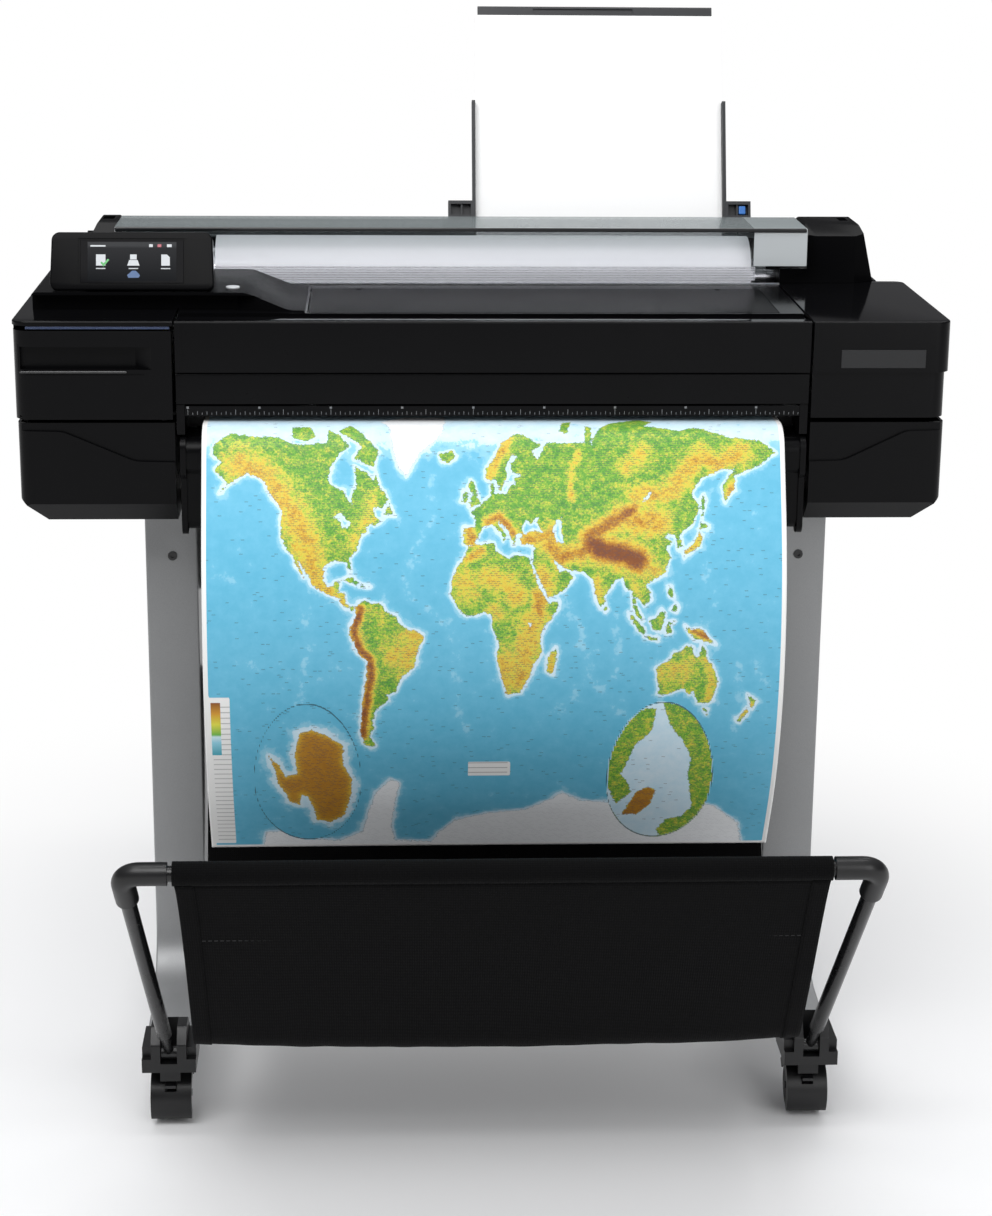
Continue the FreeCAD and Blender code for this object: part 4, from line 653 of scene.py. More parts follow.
# Mountain lines: (height 0 to 1, half width in mm, points)
RIDGES = [
    (0.52, 17, [(-150, 63), (-138, 61), (-128, 56), (-118, 49), (-112, 43), (-108, 37), (-105, 28),
                (-100, 20)]),
    (0.50, 7, [(-98, 19), (-90, 15), (-84, 11)]),
    (0.88, 5, [(-74, 8), (-78.5, -3), (-75.5, -12), (-69, -17), (-67.5, -25), (-70, -34), (-72, -44),
               (-73, -51)]),
    (0.46, 17, [(-52, -15), (-44, -18), (-41, -10), (-40, -7)]),
    (0.30, 10, [(-64, 5), (-60, 4)]),
    (0.36, 8, [(-82, 36), (-75, 42), (-68, 48), (-66, 54)]),
    (0.52, 6, [(7, 60), (14, 65), (20, 69)]),
    (0.62, 6, [(-6, 42), (-3, 39), (-4, 37.5)]),
    (0.70, 5, [(6, 45), (13, 47), (20, 43), (22, 41)]),
    (0.62, 8, [(29, 38.5), (36, 39), (44, 40), (47, 41.5)]),
    (0.66, 10, [(46, 36), (52, 31), (60, 33), (68, 34)]),
    (1.05, 13, [(73, 36), (80, 34), (88, 33), (95, 32), (101, 30)]),
    (0.78, 9, [(70, 40), (80, 43), (90, 47), (98, 49)]),
    (0.60, 15, [(95, 46), (105, 45), (113, 45)]),
    (0.52, 12, [(102, 54), (115, 54), (125, 56), (133, 61), (142, 65), (152, 63), (168, 66)]),
    (0.44, 10, [(95, 62), (105, 66)]),
    (0.44, 4, [(59, 53), (59, 60), (64, 66)]),
    (0.44, 7, [(75, 21), (76, 14)]),
    (0.50, 10, [(104, 26), (112, 26)]),
    (0.42, 5, [(98, 22), (101, 16)]),
    (0.66, 8, [(38, 14), (39, 7)]),
    (0.50, 17, [(36, 1), (34, -6), (30, -12), (29, -20), (27, -28), (21, -28), (18, -20)]),
    (0.48, 13, [(6, 23), (17, 20), (25, 14)]),
    (0.60, 5, [(-7, 31), (2, 34)]),
    (0.44, 8, [(10, 8), (14, 5)]),
    (0.52, 9, [(40, 25), (44, 17)]),
    (0.50, 4, [(47, -16), (46.5, -23)]),
    (0.40, 6, [(145, -19), (150, -29), (148, -36)]),
    (0.40, 16, [(120, -25), (132, -23)]),
    (0.80, 4, [(137, -4), (146, -7)]),
    (0.55, 3, [(132, 33.5), (138, 36), (141, 40)]),
    (0.60, 4, [(159, 54), (162, 57)]),
    (0.52, 3, [(176, -39), (169, -44.5)]),
    (0.42, 16, [(-6, 17), (-10, 22)]),
]
# Pale lines of shallow water in the open sea
SWELLS = [
    [(-30, 60), (-30, 45), (-43, 30), (-45, 15), (-20, 0), (-13, -15), (-13, -40), (-5, -52)],
    [(58, 10), (66, -5), (70, -25), (60, -35), (40, -45)],
    [(70, -25), (90, -42), (115, -50)],
    [(-110, 10), (-106, -10), (-112, -30), (-118, -50)],
    [(-82, -22), (-95, -26), (-110, -28)],
    [(145, 15), (143, 28), (150, 10)],
    [(165, -22), (168, -35), (166, -48)],
    [(178, -20), (183, -32)],
    [(88, 5), (88, -25)],
    [(-155, 20), (-175, 28)],
    [(-150, -18), (-140, -22)],
]
ANTARCTIC_COAST = [
    (55, -20), (60, 25), (85, 27), (95, 15), (140, 10), (165, 25), (172, 60), (180, 90), (196, 109),
    (205, 103),
    (200, 75), (196, 35), (200, 10), (240, 7), (250, 25), (265, 43), (300, 55), (340, 60), (365, 75),
    (380, 87),
    (400, 75), (440, 70), (500, 75), (545, 65), (575, 35), (585, -20),
]
INSET_UP = 109.0
INSET_TALL = 96.0
INSET_WIDE = 57.0
INSETS = [
    (107.0, [[(-8, 61), (5, 65), (23, 57), (38, 45), (38, 20), (47, 0), (45, -29), (38, -57), (23, -67),
              (9, -63),
              (6, -45), (0, -26), (-7, -22), (-9, -38), (-20, -33), (-24, -20), (-32, -6), (-34, 12),
              (-41, 33),
              (-30, 20), (-24, 4), (-11, 8), (-13, 35)]], 0.72),
    (484.0, [[(-60, 0), (-54, 50), (-30, 90), (-8, 88), (-12, 60), (-28, 45), (-36, 22), (-42, 5), (-34, -8),
              (-30, -22), (-45, -40)],
             [(-2, 98), (30, 98), (62, 50), (62, -30), (40, -90), (8, -98), (2, -84), (12, -66), (28, -62),
              (38, -45), (34, -20), (30, 5), (32, 28), (22, 50), (8, 68)]], 0.24),
]
INSET_ICE_LAND = [(-38, -58), (-24, -22), (-12, -14), (-3, -20), (-8, -42), (-22, -58)]
LEGEND = (0.0, 27.0, 7.0, 213.0)
KEY_ACROSS, KEY_UP = (7.0, 17.0), (143.0, 207.0)        # the height scale in the legend
RULES_ACROSS, RULES_UP = (8.0, 320.0), (9.0, 205.0)     # plain rules in place of words
RULE_PITCH = 6.5
SCALE_BOX = (278.0, 323.0, 113.0, 132.0)
UNPRINTED_UP = 640.0                                    # bare paper from here back to the roll
MARK_ROW, MARK_CELL = 0.021, 0.052                      # rows of place marks, in tens of centimetres


def sheet_spot(lon, lat):
    """Longitude and latitude to (x, up) in mm on the sheet."""
    miller = math.degrees(1.25 * math.log(math.tan(math.pi / 4 + 0.4 * math.radians(lat))))
    return (lon - MAP_WEST) * MM_PER_DEGREE, EQUATOR_UP + 2.04 * miller + 0.0035 * miller * abs(miller)


def line_distance(x, y, points, closed=False):
    """Distance from every (x, y) to a line of points."""
    best = np.full(x.shape, 1e9)
    pairs = zip(points, points[1:] + points[:1]) if closed else zip(points, points[1:])
    for (ax, ay), (bx, by) in pairs:
        dx, dy = bx - ax, by - ay
        share = np.clip(((x - ax) * dx + (y - ay) * dy) / max(dx * dx + dy * dy, 1e-9), 0, 1)
        best = np.minimum(best, np.hypot(x - ax - share * dx, y - ay - share * dy))
    return best


def inside_distance(x, y, points):
    """Signed distance to a closed outline, positive inside."""
    crossings = np.zeros(x.shape, bool)
    for (ax, ay), (bx, by) in zip(points, points[1:] + points[:1]):
        if ay == by:
            continue
        hit = (ay > y) != (by > y)
        crossings ^= hit & (x < ax + (y - ay) * (bx - ax) / (by - ay))
    distance = line_distance(x, y, points, True)
    return np.where(crossings, distance, -distance)


def box_distance(x, y, limits):
    """Signed distance to an upright rectangle, positive inside."""
    x0, x1, y0, y1 = limits
    return np.minimum(np.minimum(x - x0, x1 - x), np.minimum(y - y0, y1 - y))


def map_fields(x, up):
    """Per point, what the map's shader reads: distances to coasts and lines, heights and depths."""
    land = np.full(x.shape, -60.0)
    ice = np.zeros(x.shape)
    for name, outline in LANDS.items():
        spots = [sheet_spot(*p) for p in outline]
        inside = inside_distance(x, up, spots)
        land = np.maximum(land, inside)
        if name == "greenland":
            ice = np.clip((inside + 3) / 1.5, 0, 1)
    for outline in LAKES:
        land = np.minimum(land, -inside_distance(x, up, [sheet_spot(*p) for p in outline]))
    south = inside_distance(x, up, ANTARCTIC_COAST)
    land = np.maximum(land, south)
    ice = np.maximum(ice, (south > -4) * 1.0)
    height = np.full(x.shape, 0.2)
    rugged = np.ones(x.shape)
    for top, width, points in RIDGES:
        reach = line_distance(x, up, [sheet_spot(*p) for p in points])
        height = np.maximum(height, 0.2 + (top - 0.2) * np.exp(-(reach / width) ** 2))
    sea = 0.12 + 0.88 * np.exp(np.minimum(land, 0) / 3.6)
    for points in SWELLS:
        reach = line_distance(x, up, [sheet_spot(*p) for p in points])
        sea = np.maximum(sea, 0.30 * np.exp(-(reach / 10) ** 2))
    sea = np.maximum(sea, 0.75 * np.clip((up - 452) / 40, 0, 1))
    blank = -box_distance(x, up, (MARGIN, SHEET_WIDTH - MARGIN, MARGIN - 1, 2000))
    for patch in (LEGEND, SCALE_BOX):
        blank = np.maximum(blank, box_distance(x, up, patch))
    line = np.full(x.shape, 30.0)
    for middle, outlines, level in INSETS:
        dx, dy = x - middle, up - INSET_UP
        radius = np.hypot(dx / INSET_WIDE, dy / INSET_TALL)
        within = radius < 1
        local = np.full(x.shape, -60.0)
        for outline in outlines:
            local = np.maximum(local, inside_distance(dx, dy, outline))
        tone = np.full(x.shape, level)
        if level < 0.5:
            cold = inside_distance(dx, dy, INSET_ICE_LAND)
            tone = np.where(cold > 0, 0.72, tone)
            local = np.maximum(local, cold)
            shallow = np.full(x.shape, 0.8)
            rugged = np.where(within & (cold > 0), 0.3, rugged)
        else:
            shallow = np.clip(np.exp(np.minimum(local, 0) / 9.0), 0.15, 1)
            tone = tone - 0.22 * np.exp(-np.maximum(local, 0) / 4)
            rugged = np.where(within, 0.22, rugged)
        land = np.where(within, local, land)
        height = np.where(within, tone, height)
        sea = np.where(within, shallow, sea)
        ice = np.where(within, 0, ice)
        line = np.minimum(line, np.abs(radius - 1) * (INSET_WIDE + INSET_TALL) / 2)
    return {"land": np.clip(land, -40, 40), "height": height, "rugged": rugged, "sea": sea, "ice": ice,
            "blank": np.clip(blank, -20, 20), "line": line, "up": up, "across": x}


def map_material():
    """Printed world map: sea, shelves, coasts and coloured heights, all from the sheet's fields."""
    n = Nodes("printed_map")

    def field(name):
        node = n.add("ShaderNodeAttribute")
        node.attribute_name = name
        return node.outputs["Fac"]

    def within(value, limits):
        return n.times(n.above(value, limits[0]), n.below(value, limits[1]))

    where = n.coord.outputs["UV"]
    rough_coast = n.noise(22, 8, 0.72, where)
    coast = n.plus(field("land"), n.times(n.minus(rough_coast, 0.5), 11.0))
    on_land = n.above(coast, 0.0)
    hills = n.plus(n.times(n.noise(11, 10, 0.78, where), 0.6), n.times(n.noise(46, 6, 0.7, where), 0.4))
    tall = n.plus(field("height"), n.times(n.minus(hills, 0.5), 1.9, field("rugged")))
    relief = n.ramp(tall, [
        (0.0, (0.06, 0.28, 0.04)), (0.17, (0.13, 0.40, 0.05)), (0.27, (0.34, 0.54, 0.06)),
        (0.36, (0.70, 0.66, 0.08)), (0.50, (0.76, 0.52, 0.06)), (0.66, (0.56, 0.27, 0.03)),
        (0.85, (0.32, 0.10, 0.02)), (1.0, (0.22, 0.06, 0.02)),
    ])
    crisp = n.noise(120, 4, 0.8, where)
    relief = n.mix(n.ramp(crisp, [(0.42, 0.0), (0.72, 0.4)]), relief, (0.20, 0.17, 0.05))
    relief = n.mix(field("ice"), relief, (0.86, 0.88, 0.90))
    depth = n.plus(field("sea"), n.times(n.minus(n.noise(6.5, 9, 0.66, where), 0.5), 1.25))
    water = n.ramp(depth, [
        (0.0, (0.12, 0.46, 0.66)), (0.30, (0.15, 0.50, 0.70)), (0.36, (0.24, 0.57, 0.75)),
        (0.52, (0.30, 0.62, 0.78)), (0.58, (0.55, 0.76, 0.88)), (1.0, (0.68, 0.83, 0.92)),
    ])
    shown = n.mix(on_land, water, relief)
    edge = n.below(n.math("ABSOLUTE", coast), 0.35)
    shown = n.mix(n.times(edge, 0.45), shown, (0.05, 0.14, 0.22))
    # small place marks: rows of short dashes, many on land and few at sea
    in_rows = n.math("DIVIDE", n.part(where, "Y"), MARK_ROW)
    row = n.math("FLOOR", in_rows)
    along = n.plus(n.math("DIVIDE", n.part(where, "X"), MARK_CELL), n.math("FRACT", n.times(row, 0.618)))
    cell = n.add("ShaderNodeCombineXYZ")
    n.link(n.math("FLOOR", along), cell.inputs[0])
    n.link(row, cell.inputs[1])
    chance = n.add("ShaderNodeTexWhiteNoise")
    chance.noise_dimensions = "2D"
    n.link(cell.outputs[0], chance.inputs["Vector"])
    in_row = n.near(n.math("FRACT", in_rows), 0.5, 0.24)
    in_cell = n.near(n.math("FRACT", along), 0.5, 0.36)
    picked = n.above(chance.outputs["Value"], n.minus(0.965, n.times(on_land, 0.50)))
    broken = n.above(n.noise(420, 1, 0.5, where), 0.45)
    not_ice = n.minus(1.0, n.times(field("ice"), 0.8))
    shown = n.mix(n.times(in_row, in_cell, picked, broken, not_ice, 0.62), shown, (0.05, 0.06, 0.10))
    ring = n.below(field("line"), 0.8)
    shown = n.mix(n.times(ring, 0.85), shown, (0.04, 0.10, 0.14))
    # legend: a height scale and plain rules on white
    across, up = field("across"), field("up")
    key = n.ramp(n.span(up, *KEY_UP), [
        (0.0, (0.05, 0.35, 0.45)), (0.25, (0.30, 0.65, 0.78)), (0.36, (0.66, 0.85, 0.92)),
        (0.40, (0.15, 0.48, 0.08)), (0.60, (0.75, 0.72, 0.08)), (0.80, (0.66, 0.32, 0.04)),
        (1.0, (0.25, 0.08, 0.02)),
    ])
    white = (0.86, 0.86, 0.85)
    rules = n.below(n.math("FRACT", n.math("DIVIDE", up, RULE_PITCH)), 0.16)
    rules = n.times(rules, within(up, RULES_UP), within(across, RULES_ACROSS))
    bare = n.mix(n.times(rules, 0.55), white, (0.12, 0.12, 0.13))
    bare = n.mix(n.times(within(up, KEY_UP), within(across, KEY_ACROSS)), bare, key)
    shown = n.mix(n.above(field("blank"), 0.0), shown, bare)
    shown = n.mix(n.above(up, UNPRINTED_UP), shown, white)
    gloss = n.ramp(n.noise(40, 4, 0.6, where), [(0.3, 0.36), (0.7, 0.48)])
    return n.finish(shown, gloss, n.bump(n.noise(300, 3, 0.6, where), 0.00002), Specular_IOR_Level=0.35)


def spot(y, z, radius=0.0):
    """A (y, z, radius) corner given in mm from the body's front face, in metres of the row frame."""
    return at_front(y), z * MM, radius * MM


def sheet_path():
    """From the underside of the roll, over the feed roller, out over the nose and down in a soft bow."""
    middle_y, middle_z = (ROLL_LOW.y + ROLL_HIGH.y) / 2, (ROLL_LOW.z + ROLL_HIGH.z) / 2
    turn_y, turn_z, _ = spot(195, 760.7)
    reach_y, reach_z = middle_y - turn_y, middle_z - turn_z
    radius = (ROLL_HIGH.z - ROLL_LOW.z) / 2 + 0.65 * MM
    distance = math.hypot(reach_y, reach_z)
    angle = math.atan2(reach_z, reach_y) - math.asin(radius / distance)
    length = math.sqrt(distance ** 2 - radius ** 2)
    start = (turn_y + length * math.cos(angle), turn_z + length * math.sin(angle), 0)
    corners = [start, spot(195, 760.7, 40), spot(-26, 760.7, 34), spot(-138, 505, 380), spot(-14, 290)]
    return rounded_path(corners, 0.0022)


def printed_sheet(white):
    path = sheet_path()
    count = 300
    columns = [PAPER_LOW.x + (PAPER_HIGH.x - PAPER_LOW.x) * i / count for i in range(count + 1)]
    mesh, lengths = grid_mesh("printed_map_sheet", columns, path, lambda x, p, t: (x, p[0], p[1]))
    total = lengths[-1]
    across = np.tile((np.array(columns) - columns[0]) / MM, len(path))
    up = np.repeat((total - lengths) / MM, len(columns))
    for name, values in map_fields(across, up).items():
        layer = mesh.attributes.new(name, "FLOAT", "POINT")
        layer.data.foreach_set("value", values.astype(np.float32))
    sheet = new_piece("printed_map_sheet", mesh, [map_material(), white], "frame", True)
    skin = sheet.modifiers.new("paper", "SOLIDIFY")
    skin.thickness = 0.0003
    skin.offset = 0
    skin.material_offset = 1
    skin.material_offset_rim = 1
    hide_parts("printed_sheet")


# ---- cloth basket ----
SLEEVE_R = 12.2
REAR_SLEEVE_R = 11.0
BAR_SPOT = (-322.0, 382.0)
REAR_BAR_SPOT = (140.0, 440.0)
CLOTH_SAG = 0.006
SEAM_POINT = 14                           # point of the cloth's path under the front seam


def cloth_path():
    return rounded_path([
        spot(BAR_SPOT[0] - 7, BAR_SPOT[1] - 9.5), spot(-209, 144, 42), spot(-140, 124, 70), spot(40, 163, 120),
        spot(136, 300, 90), spot(REAR_BAR_SPOT[0] + 2, REAR_BAR_SPOT[1] - 10),
    ], 0.006)


def cloth_normals(path):
    normals = []
    for i in range(len(path)):
        along = (path[min(i + 1, len(path) - 1)] - path[max(i - 1, 0)]).normalized()
        normals.append(Vector((-along.y, along.x)))
    return normals


def cloth_spot(path, normals, low, high, lift=0.0):
    """Places a point of the sling: a long soft sag, slack near the hems and faint creases."""
    middle, half = (low + high) / 2, (high - low) / 2

    def place(x, point, t):
        k = round(t * (len(path) - 1))
        side = (x - middle) / half
        held = math.sin(math.pi * min(max(t, 0), 1)) ** 0.6
        sag = CLOTH_SAG * (1 - side * side) * held
        crease = (0.0016 * noise.noise(Vector((x * 9, t * 5.0, 2.7)))
                  + 0.0007 * noise.noise(Vector((x * 38, t * 9, 8.1))))
        slack = 0.004 * held * abs(side) ** 6 * math.sin(t * 11)
        out = normals[k] * (-(sag + (crease + slack) * held) - lift)
        pull = -0.004 * side * held + 0.004 * held * max(0.0, -side) * max(0.0, 1 - t)
        return (x + pull, point[0] + out[0], point[1] + out[1])

    return place


def sleeve(name, centre, radius, low, high, mat, body):
    """Sewn tube of cloth round a bar, with a slightly uneven surface and open ends."""
    bm = bmesh.new()
    rings = []
    turns, steps = 40, 120
    for i in range(steps + 1):
        x = low + (high - low) * i / steps
        ring = []
        for k in range(turns):
            angle = 2 * math.pi * k / turns
            wobble = 1 + 0.018 * noise.noise(Vector((x * 20, math.cos(angle) * 1.3, math.sin(angle) * 1.3)))
            y = at_front(centre[0]) + math.cos(angle) * radius * MM * wobble
            z = centre[1] * MM + math.sin(angle) * radius * MM * wobble
            ring.append(bm.verts.new((x, y, z)))
        rings.append(ring)
    layer = bm.loops.layers.uv.new("UVMap")
    for i in range(steps):
        for k in range(turns):
            after = (k + 1) % turns
            face = bm.faces.new((rings[i][k], rings[i + 1][k], rings[i + 1][after], rings[i][after]))
            for loop, (a, b) in zip(face.loops, ((i, k), (i + 1, k), (i + 1, k + 1), (i, k + 1))):
                loop[layer].uv = ((high - low) * a / steps * 10, b / turns * 2 * math.pi * radius * MM * 10)
    bmesh.ops.recalc_face_normals(bm, faces=bm.faces)
    tube = new_piece(name, bm, mat, body, True)
    skin = tube.modifiers.new("cloth", "SOLIDIFY")
    skin.thickness = 0.001
    return tube


def stitches(name, low, high, at, mat, body, pitch=0.006):
    """A row of short thread stitches along X; at(x) gives (y, z) of the cloth's surface."""
    bm = bmesh.new()
    count = int((high - low) / pitch)
    for i in range(count):
        x = low + (i + 0.2) * pitch
        y, z = at(x)
        block(bm, (x, y - 0.0005, z - 0.0004), (x + pitch * 0.62, y + 0.0003, z + 0.0004))
    return new_piece(name, bm, mat, body)


def cloth_basket():
    cloth = woven("basket_weave", (0.0052, 0.0052, 0.0058), 0.0024)
    thread = rubber("thread_black", (0.013, 0.013, 0.014))
    low, high = FABRIC_LOW.x - 3 * MM, FABRIC_HIGH.x + 5 * MM
    path = cloth_path()
    normals = cloth_normals(path)
    count = 150
    columns = [low + (high - low) * i / count for i in range(count + 1)]
    mesh, lengths = grid_mesh("basket_sling", columns, path, cloth_spot(path, normals, low, high))
    sling = new_piece("basket_sling", mesh, cloth, None, True)
    skin = sling.modifiers.new("cloth", "SOLIDIFY")
    skin.thickness = 0.0012
    pieces = []
    for side, edge in (("left", low), ("right", high)):
        inner = edge + (18 * MM if side == "left" else -18 * MM)
        band = [min(edge, inner) + abs(inner - edge) * i / 4 for i in range(5)]
        hem_mesh, _ = grid_mesh("side_hem_" + side, band, path, cloth_spot(path, normals, low, high, 0.0011))
        hem = new_piece("side_hem_" + side, hem_mesh, cloth, None, True)
        hem.modifiers.new("cloth", "SOLIDIFY").thickness = 0.0009
        pieces.append(hem)
    front = sleeve("front_sleeve", BAR_SPOT, SLEEVE_R, low - 2 * MM, high + 2 * MM, cloth, "basket")
    rear = sleeve("rear_sleeve", REAR_BAR_SPOT, REAR_SLEEVE_R, low + 6 * MM, high - 6 * MM, cloth, "frame")
    start = path[SEAM_POINT]
    seam = stitches("front_seam", low + 0.01, high - 0.01,
                    lambda x: (start[0] - 0.0012, start[1]), thread, "basket")
    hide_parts("basket_fabric")
    for piece in [sling] + pieces:
        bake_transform(piece)


# ---- display, badge, strips and small trim ----
DISPLAY_LEAN = math.radians(-20)
DISPLAY_MIDDLE = -373 * MM


def display_place():
    return (Matrix.Translation((DISPLAY_MIDDLE, at_front(72), 889.5 * MM))
            @ Matrix.Rotation(DISPLAY_LEAN, 4, "X"))


def outline_piece(name, corners, depth, mat, body, place):
    """Flat outline in a leaning plane, drawn in mm (x, z), with a small thickness in front."""
    bm = bmesh.new()
    front = [bm.verts.new(place @ Vector((x * MM, -depth * MM, z * MM))) for x, z in corners]
    bm.faces.new(front)
    back = [bm.verts.new(place @ Vector((x * MM, 0.4 * MM, z * MM))) for x, z in corners]
    bm.faces.new(back[::-1])
    for i in range(len(corners)):
        k = (i + 1) % len(corners)
        bm.faces.new((front[k], front[i], back[i], back[k]))
    bmesh.ops.recalc_face_normals(bm, faces=bm.faces)
    return new_piece(name, bm, mat, body)


def oblong(x0, z0, x1, z1):
    return [(x0, z0), (x1, z0), (x1, z1), (x0, z1)]


def display_screen():
    place = display_place()
    glass = glossy("display_glass", (0.0022, 0.0022, 0.003), 0.06, 0.04)
    screen = Nodes("display_lit")
    fall = screen.span(screen.part(screen.coord.outputs["Object"], "Z"), 0.898, 0.940)
    lit = screen.ramp(fall, [(0.0, (0.003, 0.0035, 0.0045)), (0.8, (0.013, 0.0135, 0.015)),
                             (0.86, (0.028, 0.029, 0.031))])
    screen.finish(lit, Roughness=0.10, Emission_Strength=0.5, Specular_IOR_Level=0.03)
    screen.link(lit, screen.shader.inputs["Emission Color"])
    bar("display_glass_plate", mm(-54.6, 0.15, 7.4), mm(54.6, 1.15, 53.6),
        glass, "display", 0.0003, place)
    bar("display_screen", mm(-47, 0.02, 9.5), mm(47, 0.5, 51.5),
        screen.mat, "display", 0.0001, place)
    white = glowing("icon_white", (0.42, 0.44, 0.46), 0.35)
    blue = glowing("icon_blue", (0.03, 0.075, 0.18), 0.5)
    green = glowing("icon_green", (0.06, 0.28, 0.08), 0.6)
    red = glowing("icon_red", (0.30, 0.06, 0.08), 0.5)
    shapes = [
        ("icon_copy_page", oblong(-38, 26, -28, 38), white, 0.10),
        ("icon_copy_tick", [(-30, 25), (-24, 32), (-25.5, 33.5), (-30, 28.5), (-32, 30.5), (-33.4, 29)],
         green, 0.16),
        ("icon_tray_box", [(-5, 26), (8, 26), (6, 32), (-3, 32)], white, 0.10),
        ("icon_tray_page", oblong(-2, 32.6, 5, 38), white, 0.10),
        ("icon_page", [(31, 26), (40, 26), (40, 35), (37, 38), (31, 38)], white, 0.10),
        ("icon_cloud", [(-4, 13), (7, 13), (8.5, 15.5), (6.5, 18), (4, 20.5), (0, 20.5), (-2.5, 18),
                        (-5, 16)],
         blue, 0.10),
        ("status_left", oblong(-44, 46.4, -28, 48), white, 0.08),
        ("status_mid", oblong(18, 46, 22, 49), white, 0.08),
        ("status_red", oblong(27, 46, 31, 49), red, 0.08),
        ("status_right", oblong(37, 46, 42, 49), white, 0.08),
    ]
    for name, corners, mat, depth in shapes:
        outline_piece(name, corners, depth, mat, "display", place)
    for name, middle in (("label_copy", -33), ("label_tray", 1.5), ("label_page", 35.5)):
        outline_piece(name, oblong(middle - 5, 22.4, middle + 5, 23.4), 0.08, white, "display", place)


def front_trim():
    badge = moulded("badge_grey", (0.0105, 0.011, 0.0122), 0.34, level=0.35)
    bar("badge_plate", front_mm(376, -0.9, 819), front_mm(466, 0.3, 838.5), badge, "frame", 0.0005)
    strip = Nodes("accent_blue")
    specks = strip.noise(1500, 2, 0.8)
    tint = strip.ramp(specks, [(0.35, (0.006, 0.011, 0.036)), (0.56, (0.016, 0.032, 0.09)),
                               (0.66, (0.10, 0.14, 0.23))])
    strip.finish(tint, strip.ramp(specks, [(0.3, 0.3), (0.7, 0.5)]))
    bar("accent_strip", front_mm(-478, 0.7, 859.6), front_mm(-329, 3.5, 862.4), strip.mat, "frame", 0.0003)
    lip = glossy("grip_lip", (0.004, 0.004, 0.005), 0.2, 0.7)
    bar("grip_lip", front_mm(-485, -1.3, 813.3), front_mm(-374, 0.6, 816.0), lip, "door", 0.0009)
    rail = glossy("cover_rail", (0.012, 0.013, 0.014), 0.14, 0.3)
    low, high = COVER_LOW, COVER_HIGH
    bar("cover_front_rail", (low.x + 1 * MM, low.y - 1.4 * MM, high.z - 4 * MM),
        (high.x - 1 * MM, low.y + 3 * MM, high.z + 0.6 * MM), rail, "cover", 0.0012)
    # Painted shade: a striped, half-clear grey-blue band over the lower window darkens the roll seen behind
    # it.
    band = Nodes("cover_painted_shade")
    lines = band.add("ShaderNodeTexWave", Scale=0.31416 / 0.0028)
    lines.bands_direction = "Z"
    band.link(band.coord.outputs["Object"], lines.inputs["Vector"])
    tone = band.mix(lines.outputs["Fac"], (0.40, 0.41, 0.45), (0.74, 0.75, 0.80))
    band.finish(tone, band.ramp(band.noise(300, 2), [(0.3, 0.3), (0.7, 0.4)]))
    band.show(band.mix_shaders(0.36, band.add("ShaderNodeBsdfTransparent"), band.shader))
    bar("cover_shade_band", (low.x + 2 * MM, low.y - 0.5 * MM, 873 * MM),
        (317 * MM, low.y - 0.1 * MM, 889 * MM), band.mat, "cover", 0.0001)
    sill = metal("sill_metal", (0.55, 0.56, 0.58), 0.3, (0.5, 60, 60))
    bar("roll_sill", (low.x + 8 * MM, low.y + 4.2 * MM, DECK_Z + 0.2 * MM),
        (346 * MM, low.y + 11 * MM, DECK_Z + 1.6 * MM), sill, "frame", 0.0003)


TICK_FOOT = 768.5
TICKS, TICK_GAP = 130, 5
POINTERS, POINTER_GAP = 9, 75


def ruler_marks():
    """Ticks of the output ruler: one each 5 mm, longer each 10 and 50, with a pointer each 75."""
    ink = moulded("ruler_ink", (0.16, 0.165, 0.17), 0.5)
    face_y = at_front(4)
    bm = bmesh.new()
    first = RULER_LOW.x + 12 * MM
    for i in range(TICKS):
        x = first + i * TICK_GAP * MM
        tall = 5.5 if i % 10 == 0 else (3.6 if i % 2 == 0 else 2.2)
        block(bm, (x - 0.25 * MM, face_y - 0.12 * MM, TICK_FOOT * MM),
              (x + 0.25 * MM, face_y + 0.1 * MM, (TICK_FOOT + tall) * MM))
    new_piece("ruler_ticks", bm, ink, "frame")
    bm = bmesh.new()
    for i in range(POINTERS):
        x = first + i * POINTER_GAP * MM
        block(bm, (x - 1.2 * MM, face_y - 0.6 * MM, 775 * MM), (x + 1.2 * MM, face_y + 0.2 * MM, 777.2 * MM))
    new_piece("ruler_pointers", bm, ink, "frame")


def guide_tab():
    """Blue finger tab in the pocket of the right width guide."""
    blue = moulded("tab_blue", (0.03, 0.16, 0.50), 0.35)
    lean = Matrix.Translation((0, at_front(441), 903 * MM)) @ Matrix.Rotation(math.radians(-18.5), 4, "X")
    edge = 304.1
    bar("guide_blue_tab", mm(edge + 19, -9.5, 18.5), mm(edge + 27, -2.2, 28.5), blue, "guide_right", 0.001,
        lean)


# ---- materials of the CAD nodes ----
def finish_edges(obj):
    """Round shading on curved faces, with hard edges kept sharp and no vertex moved."""
    obj.data.polygons.foreach_set("use_smooth", [True] * len(obj.data.polygons))
    if obj.data.has_custom_normals:
        obj.data.attributes.remove(obj.data.attributes["custom_normal"])
    obj.modifiers.new("weld", "WELD").merge_threshold = 0.00001
    obj.modifiers.new("hard_edges", "EDGE_SPLIT").split_angle = math.radians(28)


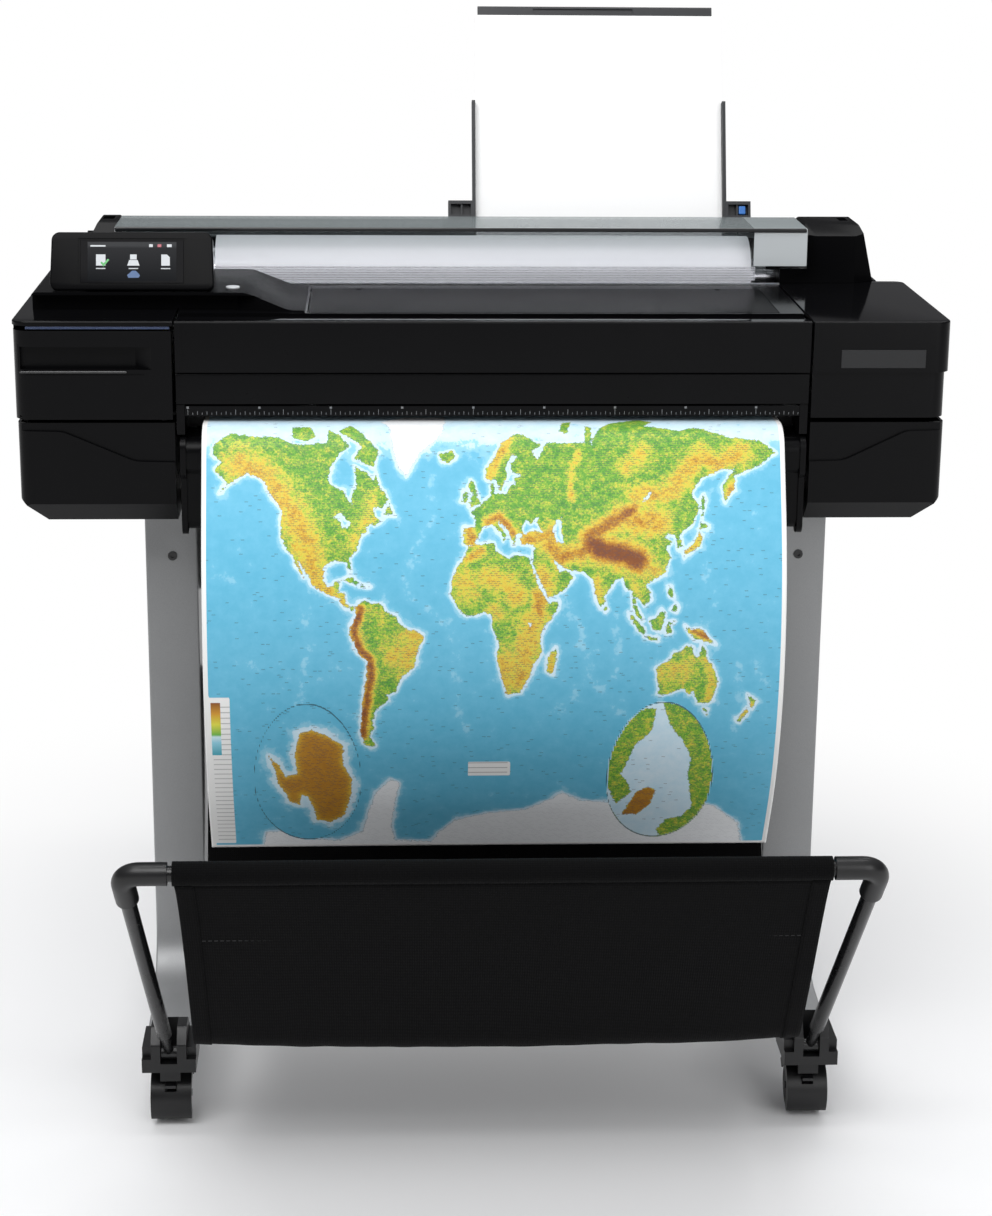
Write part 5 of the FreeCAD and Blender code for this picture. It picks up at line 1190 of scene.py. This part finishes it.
def cad_materials():
    satin = body_black()
    gloss = glossy("gloss_black", (0.0026, 0.0026, 0.003), 0.12, 0.045)
    looks = {
        "body_satin": satin,
        "deck_gloss": gloss,
        "cover_smoke": smoked(),
        "leg_paint": painted("leg_silver", (0.30, 0.305, 0.31), 0.42),
        "bracket_black": moulded("bracket_black", (0.0075, 0.0075, 0.008), 0.36, level=0.4),
        "caster_hood": moulded("caster_black", (0.0065, 0.0065, 0.007), 0.36, level=0.4),
        "caster_tread": rubber("caster_tread", (0.011, 0.011, 0.0115)),
        "tube_black": moulded("tube_black", (0.0075, 0.0075, 0.008), 0.26, 900, level=0.45),
        "basket_cloth": rubber("cloth_plain", (0.015, 0.015, 0.016)),
        "paper_white": paper("white_paper", (0.87, 0.87, 0.87)),
        "paper_print": paper("print_paper", (0.9, 0.9, 0.89)),
        "shaft_steel": metal("ground_steel", (0.62, 0.62, 0.63), 0.25),
        "plate_steel": metal("zinc_plate", (0.5, 0.5, 0.51), 0.38, (4, 4, 30)),
        "roller_rubber": rubber("roller_grit", (0.05, 0.05, 0.055)),
        "belt_rubber": rubber("belt_black", (0.02, 0.02, 0.02)),
        "inner_plastic": moulded("inner_dark", (0.04, 0.04, 0.043), 0.5),
        "ink_black": moulded("ink_black", (0.02, 0.02, 0.02), 0.4),
        "ink_cyan": moulded("ink_cyan", (0.02, 0.30, 0.46), 0.4),
        "ink_magenta": moulded("ink_magenta", (0.42, 0.02, 0.14), 0.4),
        "ink_yellow": moulded("ink_yellow", (0.66, 0.50, 0.02), 0.4),
        "circuit_green": moulded("circuit_green", (0.02, 0.12, 0.05), 0.45),
        "tray_black": moulded("tray_black", (0.0075, 0.008, 0.0085), 0.40, level=0.35),
        "tray_grey": moulded("tray_grey", (0.021, 0.022, 0.025), 0.40, level=0.4),
        "display_black": glossy("display_case", (0.0026, 0.0026, 0.003), 0.14, 0.05),
        # The power button's near-white colour is a painted glint: it stands in for the white oval highlight
        # seen on it.
        "button_light": moulded("button_light", (0.55, 0.56, 0.58), 0.25, coat=0.3),
        "screw_black": moulded("screw_black", (0.008, 0.008, 0.009), 0.3),
    }
    slots = {item["node"]: item["material_slot"] for item in frame["record"]["subparts"]}
    for name, obj in NODES.items():
        obj.data.materials.clear()
        obj.data.materials.append(looks[slots[name]])
    NODES["paper_roll"].data.materials[0] = roll_paper()
    quiet = glossy("lid_black", (0.0030, 0.0030, 0.0034), 0.24, 0.012)
    for name in ("access_lid", "panel_support", "roll_end_left", "roll_end_right"):
        NODES[name].data.materials[0] = quiet
    for obj in NODES.values():
        finish_edges(obj)
    return looks


bpy.context.scene.view_settings.view_transform = "Standard"
make_camera()
make_world()
make_floor()
area_light("key_top", (-0.9, -1.9, 3.0), (0, 0, 0.6), (2.2, 1.6), 60)
area_light("fill_front", (1.8, -3.0, 1.6), (0, 0, 0.6), (2.0, 2.0), 34)
area_light("back_top", (0.2, 1.6, 2.4), (0, 0.1, 0.9), (2.4, 0.7), 22)
area_light("edge_strip", (0.0, -0.15, 2.3), (0, -0.10, 0.0), (2.2, 0.22), 11)
looks = cad_materials()
printed_sheet(looks["paper_print"])
cloth_basket()
display_screen()
front_trim()
ruler_marks()
guide_tab()
